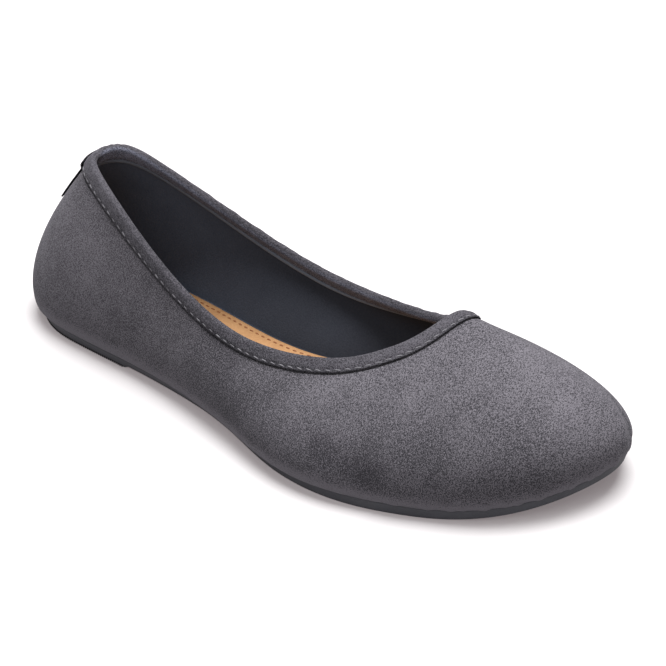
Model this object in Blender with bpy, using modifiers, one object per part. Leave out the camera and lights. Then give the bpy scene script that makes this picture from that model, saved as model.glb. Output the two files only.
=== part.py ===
"""Ballet flat, women's, right shoe: a soft slip-on with a thin rubber outsole.

The shoe is worked out from a last. Its feather line, where the upper turns under
the foot, and its topline, the edge of the opening, are two closed curves through
the same stations, and the wall of the upper runs between them as one curve at each
station. Lengths are in metres. +X points to the toe, +Y to the inner side of the
foot and +Z up, and the shoe stands on the plane z = 0 with its box centred on the
origin.
"""

from typing import Callable, List, NamedTuple, Sequence, Tuple, Union

import bmesh
import bpy
import numpy as np
from mathutils import Vector

Numbers = Union[float, np.ndarray]

# Last: plan sizes
LAST_LENGTH = 0.241  # feather line, heel to toe
BALL_WIDTH = 0.086  # feather line across the ball
HEEL_WIDTH = 0.049  # feather line across the heel
COLLAR_WIDTH = 0.0545  # opening across the waist
VAMP_LENGTH = 0.0585  # throat to toe, along the last

# Last: heights above the floor
HEEL_HEIGHT = 0.0652  # top of the back seam
SIDE_HEIGHT = 0.0334  # lowest part of the opening
INSTEP_HEIGHT = 0.0501  # throat
WALL_SWELL = 0.005  # how far the wall starts outwards over the feather line

# Upper
UPPER_WALL = 0.0014
MARGIN_WIDTH = 0.009  # wall turned in under the foot
LIP_RADIUS = 0.0024  # roll of the wall over the outsole
PIECE_GAP = 0.0003  # glue line between pieces

# Outsole
HEEL_THICKNESS = 0.0042
BALL_THICKNESS = 0.0038
TOE_SPRING = 0.0076  # rise of the toe tip over the flat forefoot
TOE_THINNING = 0.0006  # outsole lost at the toe tip
WAIST_LIFT = 0.0010  # step from the heel pad up to the waist
PAD_STEP_RUN = 0.0012
HEEL_PAD_LENGTH = 0.059
SOLE_SETBACK = 0.0007  # outsole inside the feather line
WAIST_TRIM = 0.0014  # outsole cut closer still, between heel and ball
HEEL_TUCK = 0.0015  # outsole cut closer still, round the back of the heel
BACK_UNDERCUT = 0.0011  # slope of the outsole's side at heel and waist
FRONT_UNDERCUT = 0.0003
SOLE_EDGE_ROUND = 0.0006

# Insole
SOCK_THICKNESS = 0.0016
SOCK_SKIVE = 0.0005  # slope of the sock's edge
BOARD_GAP = 0.0006  # board inside the turned margin

# Topline binding
BINDING_WIDTH = 0.0046
BINDING_INSIDE = 0.0060
BINDING_THICKNESS = 0.0006

# Heel tab
TAB_WIDTH = 0.0078
TAB_LENGTH = 0.025
TAB_THICKNESS = 0.0005
TAB_TOP_GAP = 0.0028

# Shares of the last length
WAIST_START = 0.40
WAIST_END = 0.60
HEEL_TUCK_END = 0.12
TRIM_RISE = (0.30, 0.50)
TRIM_FALL = (0.60, 0.76)
SPRING_START = 0.80
SPRING_POWER = 2.3
WIDENING_START = 0.10
WIDENING_END = 0.76
OPENING_LOW = 0.72  # of heel to throat: behind it the topline climbs to the heel

# Mesh counts
UPPER_COLUMNS = 96
WALL_ROWS = 11
LIP_ROWS = 4
MARGIN_ROWS = 3
COLUMN_CROWDING = 0.4  # closer columns at the heel and the toe
FOLD_ROWS = 5
BINDING_SIDE_ROWS = 2
TAB_COLUMNS = 7
TAB_ROWS = 3
SOLE_RUNGS = 30
RUNG_SHARES = (0.2, 0.5, 0.8)
ARC_SAMPLES = 41
LOOP_SAMPLES = 2001
CURVE_STEP = 1e-4  # of the loop or the wall, for directions


class Finish(NamedTuple):
    """Plain non-metal finish."""

    colour: Tuple[float, float, float]
    roughness: float


FINISHES = {
    "outsole_rubber": Finish((0.045, 0.045, 0.050), 0.65),
    "grey_suede": Finish((0.165, 0.160, 0.170), 0.85),
    "insole_tan": Finish((0.66, 0.40, 0.22), 0.60),
    "binding_suede": Finish((0.150, 0.145, 0.155), 0.85),
    "tab_black": Finish((0.018, 0.018, 0.020), 0.60),
}


class Station(NamedTuple):
    """One place on the loop round the foot, from the heel round the outer side."""

    name: str
    along: float  # feather line, of the last length
    across: float  # feather line, of the local width, + inner side
    top_along: float  # topline, of heel to throat
    top_across: float  # topline, of the collar width
    climb: float  # topline, from the side height to heel or instep
    swell: float  # start of the wall, of the wall swell
    rise: float  # start of the wall, of the wall height
    lean: float  # end of the wall, of the vamp length
    drop: float  # end of the wall, of the wall height
    strip: float  # outer side of the binding, of the binding width


STATIONS = (
    Station("heel", 0.000, 0.000, 0.147, 0.000, 1.000, 1.12, 0.33, 0.178, 0.24, 1.00),
    Station("outer_counter", 0.043, -0.343, 0.177, -0.125, 0.950, 1.18, 0.25, 0.134, 0.245, 1.00),
    Station("outer_heel", 0.149, -0.500, 0.266, -0.268, 0.762, 1.05, 0.32, 0.075, 0.265, 0.98),
    Station("outer_shank", 0.314, -0.508, 0.419, -0.423, 0.345, 1.00, 0.31, 0.058, 0.30, 0.80),
    Station("outer_waist", 0.471, -0.557, 0.575, -0.550, 0.095, 1.04, 0.35, 0.100, 0.366, 0.72),
    Station("outer_joint", 0.636, -0.618, 0.715, -0.570, 0.040, 1.10, 0.387, 0.200, 0.42, 0.92),
    Station("outer_ball", 0.777, -0.527, 0.832, -0.500, 0.225, 1.10, 0.39, 0.430, 0.45, 1.00),
    Station("outer_toes", 0.922, -0.297, 0.920, -0.325, 0.530, 1.10, 0.39, 0.700, 0.44, 1.00),
    Station("outer_tip", 0.987, -0.035, 0.970, -0.122, 0.862, 1.06, 0.42, 0.770, 0.36, 0.88),
    Station("toe", 1.000, 0.128, 0.993, 0.073, 1.035, 1.00, 0.42, 0.640, 0.30, 0.76),
    Station("inner_tip", 0.983, 0.279, 0.991, 0.190, 0.780, 0.98, 0.42, 0.530, 0.32, 0.88),
    Station("inner_toes", 0.932, 0.407, 0.944, 0.318, 0.368, 0.96, 0.40, 0.360, 0.33, 1.00),
    Station("inner_ball", 0.802, 0.456, 0.876, 0.408, 0.010, 1.00, 0.42, 0.230, 0.30, 1.00),
    Station("inner_joint", 0.649, 0.362, 0.748, 0.440, -0.085, 0.95, 0.43, 0.150, 0.27, 1.00),
    Station("inner_waist", 0.483, 0.205, 0.574, 0.440, 0.061, 1.02, 0.39, 0.133, 0.215, 1.00),
    Station("inner_shank", 0.314, 0.318, 0.400, 0.404, 0.380, 1.00, 0.34, 0.133, 0.167, 1.00),
    Station("inner_heel", 0.145, 0.485, 0.236, 0.325, 0.795, 1.05, 0.33, 0.142, 0.19, 1.00),
    Station("inner_counter", 0.029, 0.361, 0.163, 0.170, 1.020, 1.10, 0.31, 0.150, 0.22, 1.00),
)


def ease(value: np.ndarray, start: float, end: float) -> np.ndarray:
    """Smooth step from 0 at start to 1 at end."""
    share = np.clip((np.asarray(value, float) - start) / (end - start), 0.0, 1.0)
    return share * share * (3.0 - 2.0 * share)


def mix(first: float, second: float, share: Numbers) -> Numbers:
    """Value between first and second."""
    return first + (second - first) * share


def spring(x: np.ndarray) -> np.ndarray:
    """Rise of the forefoot towards the toe tip, as a share of the toe spring."""
    start = SPRING_START * LAST_LENGTH
    return np.clip((np.asarray(x, float) - start) / (LAST_LENGTH - start), 0.0, None) ** SPRING_POWER


def bed_height(x: np.ndarray) -> np.ndarray:
    """Height of the feather line over the floor."""
    share = np.asarray(x, float) / LAST_LENGTH
    base = mix(HEEL_THICKNESS, BALL_THICKNESS, ease(share, WAIST_START, WAIST_END))
    return base + PIECE_GAP + TOE_SPRING * spring(x)


def tread_height(x: np.ndarray) -> np.ndarray:
    """Height of the outsole's underside: heel pad, lifted waist, flat forefoot, toe spring."""
    x = np.asarray(x, float)
    step = np.clip((x - HEEL_PAD_LENGTH) / PAD_STEP_RUN, 0.0, 1.0)
    waist = 1.0 - ease(x / LAST_LENGTH, WAIST_START, WAIST_END)
    return WAIST_LIFT * step * waist + (TOE_SPRING + TOE_THINNING) * spring(x)


def closed_spline(knots: np.ndarray, values: np.ndarray) -> Callable[[np.ndarray, int], np.ndarray]:
    """Smooth closed curve through values at knots that run from 0 to 1."""
    count = len(values)
    widths = np.diff(np.append(knots, 1.0))
    matrix = np.zeros((count, count))
    slopes = (np.roll(values, -1, axis=0) - values) / widths[:, None]
    for row in range(count):
        matrix[row, row - 1] += widths[row - 1]
        matrix[row, row] += 2.0 * (widths[row - 1] + widths[row])
        matrix[row, (row + 1) % count] += widths[row]
    bends = np.linalg.solve(matrix, 6.0 * (slopes - np.roll(slopes, 1, axis=0)))

    def evaluate(u: np.ndarray, order: int = 0) -> np.ndarray:
        """Points on the curve, or its first derivative."""
        u = np.mod(np.asarray(u, float), 1.0)
        here = np.clip(np.searchsorted(knots, u, side="right") - 1, 0, count - 1)
        after = (here + 1) % count
        width = widths[here][:, None]
        right = (u - knots[here])[:, None] / width
        left = 1.0 - right
        if order == 0:
            lift = (left**3 - left) * bends[here] + (right**3 - right) * bends[after]
            return left * values[here] + right * values[after] + lift * width**2 / 6.0
        lift = (1.0 - 3.0 * left**2) * bends[here] + (3.0 * right**2 - 1.0) * bends[after]
        return (values[after] - values[here]) / width + lift * width / 6.0

    return evaluate


class Last:
    """The foot form: feather line, topline and the wall between them."""

    def __init__(self) -> None:
        rows = np.array([self.station_sizes(station) for station in STATIONS])
        chords = np.linalg.norm(np.roll(rows[:, :2], -1, axis=0) - rows[:, :2], axis=1)
        knots = np.concatenate(([0.0], np.cumsum(chords)[:-1])) / chords.sum()
        self.curve = closed_spline(knots, rows)
        toe_loop = np.linspace(0.0, 1.0, LOOP_SAMPLES)
        toe_plan = self.curve(toe_loop, 0)[:, 0]
        self.toe_u = float(toe_loop[np.argmax(toe_plan)])
        self.toe_x = float(toe_plan.max())
        heel_loop = np.linspace(-0.5, 0.5, LOOP_SAMPLES)
        heel_plan = self.curve(heel_loop, 0)[:, 0]
        self.heel_u = float(heel_loop[np.argmin(heel_plan)])
        self.heel_x = float(heel_plan.min())

    @staticmethod
    def station_sizes(station: Station) -> List[float]:
        """Feather x, y, topline x, y, z, the wall's four handles and the binding's width."""
        widening = ease(station.along, WIDENING_START, WIDENING_END)
        crest = HEEL_HEIGHT if station.top_along < OPENING_LOW else INSTEP_HEIGHT
        foot_x = station.along * LAST_LENGTH
        top_z = mix(SIDE_HEIGHT, crest, station.climb)
        wall = top_z - float(bed_height(foot_x))
        return [
            foot_x,
            station.across * float(mix(HEEL_WIDTH, BALL_WIDTH, widening)),
            station.top_along * (LAST_LENGTH - VAMP_LENGTH),
            station.top_across * COLLAR_WIDTH,
            top_z,
            station.swell * WALL_SWELL,
            station.rise * wall,
            station.lean * VAMP_LENGTH,
            station.drop * wall,
            station.strip * BINDING_WIDTH,
        ]

    def feather(self, u: np.ndarray, inset: Numbers) -> np.ndarray:
        """Plan points inside the feather line."""
        points = self.curve(u, 0)[:, :2]
        return points - self.outward(u) * np.reshape(inset, (-1, 1))

    def strip_width(self, u: np.ndarray) -> np.ndarray:
        """Width of the binding's outer side."""
        return self.curve(u, 0)[:, 9]

    def outward(self, u: np.ndarray) -> np.ndarray:
        """Unit plan directions away from the foot, square to the feather line."""
        run = self.curve(u, 1)[:, :2]
        run = run / np.linalg.norm(run, axis=1, keepdims=True)
        return np.stack([run[:, 1], -run[:, 0]], axis=1)

    def wall(self, u: np.ndarray, t: np.ndarray) -> np.ndarray:
        """Outer face of the upper: t is 0 at the feather line and 1 at the topline."""
        row = self.curve(u, 0)
        out = np.hstack([self.outward(u), np.zeros((len(row), 1))])
        up = np.array([0.0, 0.0, 1.0])
        foot = np.column_stack([row[:, :2], bed_height(row[:, 0])])
        top = row[:, 2:5]
        low = foot + out * row[:, 5:6] + up * row[:, 6:7]
        high = top + out * row[:, 7:8] - up * row[:, 8:9]
        t = np.reshape(t, (-1, 1))
        s = 1.0 - t
        return s**3 * foot + 3.0 * s**2 * t * low + 3.0 * s * t**2 * high + t**3 * top

    def normal(self, u: np.ndarray, t: np.ndarray) -> np.ndarray:
        """Unit directions out of the outer face."""
        side = self.wall(u + CURVE_STEP, t) - self.wall(u - CURVE_STEP, t)
        rise = self.wall(u, t + CURVE_STEP) - self.wall(u, t - CURVE_STEP)
        cross = np.cross(side, rise)
        return cross / np.linalg.norm(cross, axis=1, keepdims=True)

    def t_below_top(self, u: np.ndarray, distance: Numbers) -> np.ndarray:
        """Where the wall lies that far below the topline, measured along it."""
        samples = np.linspace(1.0, 0.0, ARC_SAMPLES)
        distance = np.broadcast_to(np.asarray(distance, float), np.shape(u))
        found = np.empty(len(u))
        for index, place in enumerate(u):
            line = self.wall(np.full(ARC_SAMPLES, place), samples)
            steps = np.linalg.norm(np.diff(line, axis=0), axis=1)
            found[index] = np.interp(distance[index], np.append(0.0, np.cumsum(steps)), samples)
        return found

    def over_wall(self, u: np.ndarray, distance: Numbers, height: float) -> np.ndarray:
        """Points that far below the topline and that far over the outer face."""
        t = self.t_below_top(u, distance)
        return self.wall(u, t) + self.normal(u, t) * height

    def loop_at(self, x: float, inner: bool) -> float:
        """Place on the loop where the feather line passes x on one side."""
        start, end = (self.toe_u, self.heel_u + 1.0) if inner else (self.heel_u, self.toe_u)
        loop = np.linspace(start, end, LOOP_SAMPLES)
        plan = self.curve(loop, 0)[:, 0]
        if inner:
            return float(np.interp(-x, -plan, loop))
        return float(np.interp(x, plan, loop))


LAST = Last()


def loop_columns() -> np.ndarray:
    """Places round the loop, closer together at the heel and the toe."""
    share = np.arange(UPPER_COLUMNS) / UPPER_COLUMNS
    return share - COLUMN_CROWDING * np.sin(4.0 * np.pi * share) / (4.0 * np.pi)


def new_object(name: str, mesh: bpy.types.Mesh, parent: bpy.types.Object) -> bpy.types.Object:
    """Object of the shoe's collection, carried by its frame."""
    shape = bpy.data.objects.new(name, mesh)
    shape.parent = parent
    bpy.data.collections["ballet_flat"].objects.link(shape)
    mesh.shade_smooth()
    return shape


def paint(shape: bpy.types.Object, slot: str) -> None:
    """Give a shape the plain finish of its material slot."""
    finish = FINISHES[slot]
    made = bpy.data.materials.new(slot)
    made.use_nodes = True
    shader = made.node_tree.nodes["Principled BSDF"]
    shader.inputs["Base Color"].default_value = (*finish.colour, 1.0)
    shader.inputs["Roughness"].default_value = finish.roughness
    shader.inputs["Metallic"].default_value = 0.0
    shape.data.materials.append(made)


def grid_mesh(name: str, rows: Sequence[np.ndarray], closed: bool) -> bpy.types.Mesh:
    """Open sheet through rows of points, each row closed round the foot or not.

    Rows run up the outer face and columns run round the outer side first, so the
    faces point away from the foot.
    """
    sheet = bmesh.new()
    grid = [[sheet.verts.new(Vector(point)) for point in row] for row in rows]
    count = len(grid[0])
    for lower, upper in zip(grid, grid[1:]):
        for column in range(count if closed else count - 1):
            after = (column + 1) % count
            sheet.faces.new((lower[column], lower[after], upper[after], upper[column]))
    mesh = bpy.data.meshes.new(name)
    sheet.to_mesh(mesh)
    sheet.free()
    return mesh


def thicken(shape: bpy.types.Object, thickness: float, offset: float) -> None:
    """Give an open sheet its wall, inwards for offset -1 and outwards for 1."""
    wall = shape.modifiers.new("wall", "SOLIDIFY")
    wall.thickness = thickness
    wall.offset = offset
    wall.use_even_offset = True
    wall.use_rim = True


class Rung(NamedTuple):
    """A line across the sole, from the outer side to the inner one."""

    x: float
    outer_u: float
    inner_u: float


def sole_rungs() -> List[Rung]:
    """Lines across the sole, closer at the ends, with one at each edge of the pad's step."""
    turns = np.linspace(0.0, np.pi, SOLE_RUNGS + 2)[1:-1]
    places = LAST.heel_x + (LAST.toe_x - LAST.heel_x) * 0.5 * (1.0 - np.cos(turns))
    for edge in (HEEL_PAD_LENGTH, HEEL_PAD_LENGTH + PAD_STEP_RUN):
        places = places[np.abs(places - edge) > 2.0 * PAD_STEP_RUN]
    places = np.sort(np.append(places, (HEEL_PAD_LENGTH, HEEL_PAD_LENGTH + PAD_STEP_RUN)))
    return [Rung(float(x), LAST.loop_at(x, False), LAST.loop_at(x, True)) for x in places]


class Ring(NamedTuple):
    """Closed loop inside the feather line, at a height that follows x."""

    inset: Callable[[np.ndarray], Numbers]
    height: Callable[[np.ndarray], np.ndarray]


def sole_loft(name: str, rings: Sequence[Ring]) -> bpy.types.Mesh:
    """Solid between closed rings from the lowest to the highest, capped across its rungs."""
    rungs = sole_rungs()
    places = [LAST.heel_u] + [rung.outer_u for rung in rungs] + [LAST.toe_u]
    places += [rung.inner_u for rung in reversed(rungs)]
    lengths = [LAST.heel_x] + [rung.x for rung in rungs] + [LAST.toe_x]
    lengths += [rung.x for rung in reversed(rungs)]
    loop = np.array(places)
    x = np.array(lengths)
    solid = bmesh.new()
    loops = []
    for ring in rings:
        plan = LAST.feather(loop, ring.inset(x))
        heights = ring.height(x)
        points = [Vector((px, py, pz)) for (px, py), pz in zip(plan, heights)]
        loops.append([solid.verts.new(point) for point in points])
    count = len(loop)
    for lower, upper in zip(loops, loops[1:]):
        for column in range(count):
            after = (column + 1) % count
            solid.faces.new((lower[column], lower[after], upper[after], upper[column]))
    cap(solid, loops[0], rungs, rings[0].height, False)
    cap(solid, loops[-1], rungs, rings[-1].height, True)
    mesh = bpy.data.meshes.new(name)
    solid.to_mesh(mesh)
    solid.free()
    return mesh


def cap(
    solid: bmesh.types.BMesh,
    ring: Sequence[bmesh.types.BMVert],
    rungs: Sequence[Rung],
    height: Callable[[np.ndarray], np.ndarray],
    faces_up: bool,
) -> None:
    """Close a ring with strips between its rungs and a fan at each end."""
    count = len(ring)
    lines = []
    for index, rung in enumerate(rungs, start=1):
        outer, inner = ring[index], ring[count - index]
        line = [outer]
        for share in RUNG_SHARES:
            point = outer.co.lerp(inner.co, share)
            point.z = float(height(np.array([rung.x]))[0])
            line.append(solid.verts.new(point))
        line.append(inner)
        lines.append(line)
    faces = []
    for first, second in zip(lines, lines[1:]):
        for a, b, c, d in zip(first, second, second[1:], first[1:]):
            faces.append((a, b, c, d))
    toe = ring[len(rungs) + 1]
    for a, b in zip(lines[0], lines[0][1:]):
        faces.append((ring[0], a, b))
    for a, b in zip(lines[-1], lines[-1][1:]):
        faces.append((toe, b, a))
    for corners in faces:
        solid.faces.new(corners if faces_up else tuple(reversed(corners)))


def build_outsole(frame: bpy.types.Object) -> bpy.types.Object:
    """Thin moulded sole: heel pad, step to the waist, flat forefoot and toe spring."""

    def edge(x: np.ndarray) -> np.ndarray:
        share = x / LAST_LENGTH
        trim = ease(share, *TRIM_RISE) * (1.0 - ease(share, *TRIM_FALL))
        tuck = 1.0 - ease(share, 0.0, HEEL_TUCK_END)
        return SOLE_SETBACK + WAIST_TRIM * trim + HEEL_TUCK * tuck

    def side(x: np.ndarray) -> np.ndarray:
        undercut = mix(BACK_UNDERCUT, FRONT_UNDERCUT, ease(x / LAST_LENGTH, WAIST_START, WAIST_END))
        return edge(x) + undercut

    rings = (
        Ring(lambda x: side(x) + SOLE_EDGE_ROUND, tread_height),
        Ring(side, lambda x: tread_height(x) + SOLE_EDGE_ROUND),
        Ring(edge, lambda x: bed_height(x) - PIECE_GAP),
    )
    shape = new_object("outsole", sole_loft("outsole", rings), frame)
    paint(shape, "outsole_rubber")
    return shape


def build_insole(frame: bpy.types.Object) -> bpy.types.Object:
    """Board inside the turned margin with the wider sock on top of it."""
    board = MARGIN_WIDTH + BOARD_GAP
    seat = UPPER_WALL + PIECE_GAP
    sock = UPPER_WALL + 2.0 * PIECE_GAP
    rings = (
        Ring(lambda _: board, bed_height),
        Ring(lambda _: board, lambda x: bed_height(x) + seat),
        Ring(lambda _: sock + SOCK_SKIVE, lambda x: bed_height(x) + seat),
        Ring(lambda _: sock, lambda x: bed_height(x) + seat + SOCK_THICKNESS),
    )
    shape = new_object("insole", sole_loft("insole", rings), frame)
    paint(shape, "insole_tan")
    return shape


def build_upper(frame: bpy.types.Object) -> bpy.types.Object:
    """Lasted wall from the turned margin, over the lip, up to the topline."""
    columns = loop_columns()
    foot = LAST.wall(columns, np.zeros(UPPER_COLUMNS))
    out = np.hstack([LAST.outward(columns), np.zeros((UPPER_COLUMNS, 1))])
    rows = []
    for share in np.linspace(0.0, 1.0, MARGIN_ROWS):
        plan = LAST.feather(columns, mix(MARGIN_WIDTH, LIP_RADIUS, share))
        rows.append(np.column_stack([plan, bed_height(foot[:, 0])]))
    heights = wall_lengths(columns)
    lip_end = LAST.over_wall(columns, heights - LIP_RADIUS, 0.0)
    lip_start = foot - out * LIP_RADIUS
    for share in np.linspace(0.0, 1.0, LIP_ROWS + 1)[1:]:
        blend = (1.0 - share) ** 2 * lip_start + 2.0 * share * (1.0 - share) * foot
        rows.append(blend + share**2 * lip_end)
    for share in np.linspace(0.0, 1.0, WALL_ROWS + 1)[1:]:
        rows.append(LAST.over_wall(columns, (heights - LIP_RADIUS) * (1.0 - share), 0.0))
    shape = new_object("upper", grid_mesh("upper", rows, True), frame)
    thicken(shape, UPPER_WALL, -1.0)
    paint(shape, "grey_suede")
    return shape


def wall_lengths(columns: np.ndarray) -> np.ndarray:
    """Length of the wall from the feather line to the topline at each column."""
    samples = np.linspace(0.0, 1.0, ARC_SAMPLES)
    lengths = []
    for place in columns:
        line = LAST.wall(np.full(ARC_SAMPLES, place), samples)
        lengths.append(np.linalg.norm(np.diff(line, axis=0), axis=1).sum())
    return np.array(lengths)


def build_binding(frame: bpy.types.Object) -> bpy.types.Object:
    """Strip folded over the topline, down the outside and down the inside."""
    columns = loop_columns()
    edge = np.ones(UPPER_COLUMNS)
    top = LAST.wall(columns, edge)
    out = LAST.normal(columns, edge)
    up = top - LAST.over_wall(columns, UPPER_WALL, 0.0)
    up = up / np.linalg.norm(up, axis=1, keepdims=True)
    radius = UPPER_WALL / 2.0 + PIECE_GAP
    centre = top - out * UPPER_WALL / 2.0
    rows = []
    width = LAST.strip_width(columns)
    sides = np.arange(BINDING_SIDE_ROWS) / BINDING_SIDE_ROWS
    for share in sides:
        rows.append(LAST.over_wall(columns, width * (1.0 - share), PIECE_GAP))
    for turn in np.linspace(0.0, np.pi, FOLD_ROWS):
        rows.append(centre + radius * (np.cos(turn) * out + np.sin(turn) * up))
    inside = -(UPPER_WALL + PIECE_GAP)
    for share in reversed(sides):
        rows.append(LAST.over_wall(columns, BINDING_INSIDE * (1.0 - share), inside))
    shape = new_object("topline_binding", grid_mesh("topline_binding", rows, True), frame)
    thicken(shape, BINDING_THICKNESS, 1.0)
    paint(shape, "binding_suede")
    return shape


def build_heel_tab(frame: bpy.types.Object) -> bpy.types.Object:
    """Back strip over the binding and down the counter."""
    over = 2.0 * PIECE_GAP + BINDING_THICKNESS
    clear = BINDING_WIDTH + PIECE_GAP
    profile = [(TAB_TOP_GAP, over), (mix(TAB_TOP_GAP, clear, 0.5), over), (clear, over)]
    for share in np.linspace(0.0, 1.0, TAB_ROWS + 1):
        profile.append((mix(clear + over, TAB_LENGTH, share), PIECE_GAP))
    heel = LAST.heel_u
    rows = []
    for distance, height in reversed(profile):
        t = LAST.t_below_top(np.array([heel]), np.array([distance]))
        near = LAST.wall(np.array([heel - CURVE_STEP, heel + CURVE_STEP]), np.repeat(t, 2))
        speed = np.linalg.norm(near[1] - near[0]) / (2.0 * CURVE_STEP)
        columns = heel + np.linspace(-0.5, 0.5, TAB_COLUMNS) * TAB_WIDTH / speed
        rows.append(LAST.over_wall(columns, distance, height))
    shape = new_object("heel_tab", grid_mesh("heel_tab", rows, False), frame)
    thicken(shape, TAB_THICKNESS, 1.0)
    paint(shape, "tab_black")
    return shape


def centre_on_floor(frame: bpy.types.Object, shapes: Sequence[bpy.types.Object]) -> None:
    """Move the frame so that the shoe's box is centred on the origin and stands on z = 0."""
    bpy.context.view_layer.update()
    graph = bpy.context.evaluated_depsgraph_get()
    corners = []
    for shape in shapes:
        final = shape.evaluated_get(graph)
        world = final.matrix_world
        corners.extend(world @ Vector(corner) for corner in final.bound_box)
    low = Vector(min(corner[axis] for corner in corners) for axis in range(3))
    high = Vector(max(corner[axis] for corner in corners) for axis in range(3))
    frame.location = (-(low.x + high.x) / 2.0, -(low.y + high.y) / 2.0, -low.z)
    bpy.context.view_layer.update()


def build_shoe() -> None:
    """Make the shoe's pieces on one frame."""
    for old in list(bpy.data.objects):
        bpy.data.objects.remove(old)
    collection = bpy.data.collections.new("ballet_flat")
    bpy.context.scene.collection.children.link(collection)
    frame = bpy.data.objects.new("shoe_frame", None)
    collection.objects.link(frame)
    shapes = [
        build_outsole(frame),
        build_upper(frame),
        build_insole(frame),
        build_binding(frame),
        build_heel_tab(frame),
    ]
    centre_on_floor(frame, shapes)


build_shoe()
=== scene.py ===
"""Looks of a women's ballet flat, the right shoe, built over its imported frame.

The upper, its lining, the folded topline binding, the insole, the outsole and the heel
tab are modelled as fine sheets on the same last as the solids that they stand for.
Stitches, the stay tape inside, the tread and the soft creases are added on them. Lengths
are in metres, +X points to the toe, +Y to the inner side of the foot and +Z up.
"""

import logging
import math
from contextlib import contextmanager
from dataclasses import dataclass
from enum import Enum
from functools import cached_property
from typing import Callable, Dict, Iterator, List, NamedTuple, Optional, Sequence, Tuple, Union

import bpy
import numpy as np
from mathutils import Matrix, Vector

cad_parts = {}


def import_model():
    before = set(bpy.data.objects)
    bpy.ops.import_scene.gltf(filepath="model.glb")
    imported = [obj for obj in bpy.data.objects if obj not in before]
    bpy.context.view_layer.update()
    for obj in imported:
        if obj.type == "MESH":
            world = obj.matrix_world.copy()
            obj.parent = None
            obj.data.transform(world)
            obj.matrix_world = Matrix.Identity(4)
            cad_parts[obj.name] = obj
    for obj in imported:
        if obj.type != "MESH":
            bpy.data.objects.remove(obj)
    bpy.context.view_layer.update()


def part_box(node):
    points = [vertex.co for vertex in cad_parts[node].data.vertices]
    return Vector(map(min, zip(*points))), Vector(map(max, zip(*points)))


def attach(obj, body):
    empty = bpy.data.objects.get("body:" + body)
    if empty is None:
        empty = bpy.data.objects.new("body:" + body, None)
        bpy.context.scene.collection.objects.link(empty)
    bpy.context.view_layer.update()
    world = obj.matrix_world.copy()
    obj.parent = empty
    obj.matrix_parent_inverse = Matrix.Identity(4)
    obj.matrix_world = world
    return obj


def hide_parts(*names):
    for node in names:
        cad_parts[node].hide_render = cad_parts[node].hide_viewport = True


LOG = logging.getLogger("ballet_flat")
BODY = "root"
MERGE_DISTANCE = 1e-6
CURVE_STEP = 1e-4
FINE_SAMPLES = 2401  # of the loop, to measure lengths along it
STITCH_FULLNESS = 0.8  # below 1 its ends are blunt
STITCH_DIP = 1.4  # of its radius, down into the cloth at both ends

Array = np.ndarray
Shape = bpy.types.Object
Socket = bpy.types.NodeSocket
Numbers = Union[float, Array]
Span = Tuple[float, float]
Triple = Tuple[float, float, float]
Colour = Triple


class Station(NamedTuple):
    """One place on the loop round the foot, from the heel round the outer side."""

    name: str
    along: float  # feather line, of the last length
    across: float  # feather line, of the local width, + inner side
    top_along: float  # topline, of heel to throat
    top_across: float  # topline, of the collar width
    climb: float  # topline, from the side height to heel or instep
    swell: float  # start of the wall, of the wall swell
    rise: float  # start of the wall, of the wall height
    lean: float  # end of the wall, of the vamp length
    drop: float  # end of the wall, of the wall height
    strip: float  # outer side of the binding, of the binding width


STATIONS = (
    Station("heel", 0.000, 0.000, 0.147, 0.000, 1.000, 1.12, 0.33, 0.178, 0.24, 1.00),
    Station("outer_counter", 0.043, -0.343, 0.177, -0.125, 0.950, 1.18, 0.25, 0.134, 0.245, 1.00),
    Station("outer_heel", 0.149, -0.500, 0.266, -0.268, 0.762, 1.05, 0.32, 0.075, 0.265, 0.98),
    Station("outer_shank", 0.314, -0.508, 0.419, -0.423, 0.345, 1.00, 0.31, 0.058, 0.30, 0.80),
    Station("outer_waist", 0.471, -0.557, 0.575, -0.550, 0.095, 1.04, 0.35, 0.100, 0.366, 0.72),
    Station("outer_joint", 0.636, -0.618, 0.715, -0.570, 0.040, 1.10, 0.387, 0.200, 0.42, 0.92),
    Station("outer_ball", 0.777, -0.527, 0.832, -0.500, 0.225, 1.10, 0.39, 0.430, 0.45, 1.00),
    Station("outer_toes", 0.922, -0.297, 0.920, -0.325, 0.530, 1.10, 0.39, 0.700, 0.44, 1.00),
    Station("outer_tip", 0.987, -0.035, 0.970, -0.122, 0.862, 1.06, 0.42, 0.770, 0.36, 0.88),
    Station("toe", 1.000, 0.128, 0.993, 0.073, 1.035, 1.00, 0.42, 0.640, 0.30, 0.76),
    Station("inner_tip", 0.983, 0.279, 0.991, 0.190, 0.780, 0.98, 0.42, 0.530, 0.32, 0.88),
    Station("inner_toes", 0.932, 0.407, 0.944, 0.318, 0.368, 0.96, 0.40, 0.360, 0.33, 1.00),
    Station("inner_ball", 0.802, 0.456, 0.876, 0.408, 0.010, 1.00, 0.42, 0.230, 0.30, 1.00),
    Station("inner_joint", 0.649, 0.362, 0.748, 0.440, -0.085, 0.95, 0.43, 0.150, 0.27, 1.00),
    Station("inner_waist", 0.483, 0.205, 0.574, 0.440, 0.061, 1.02, 0.39, 0.133, 0.215, 1.00),
    Station("inner_shank", 0.314, 0.318, 0.400, 0.404, 0.380, 1.00, 0.34, 0.133, 0.167, 1.00),
    Station("inner_heel", 0.145, 0.485, 0.236, 0.325, 0.795, 1.05, 0.33, 0.142, 0.19, 1.00),
    Station("inner_counter", 0.029, 0.361, 0.163, 0.170, 1.020, 1.10, 0.31, 0.150, 0.22, 1.00),
)


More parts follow.
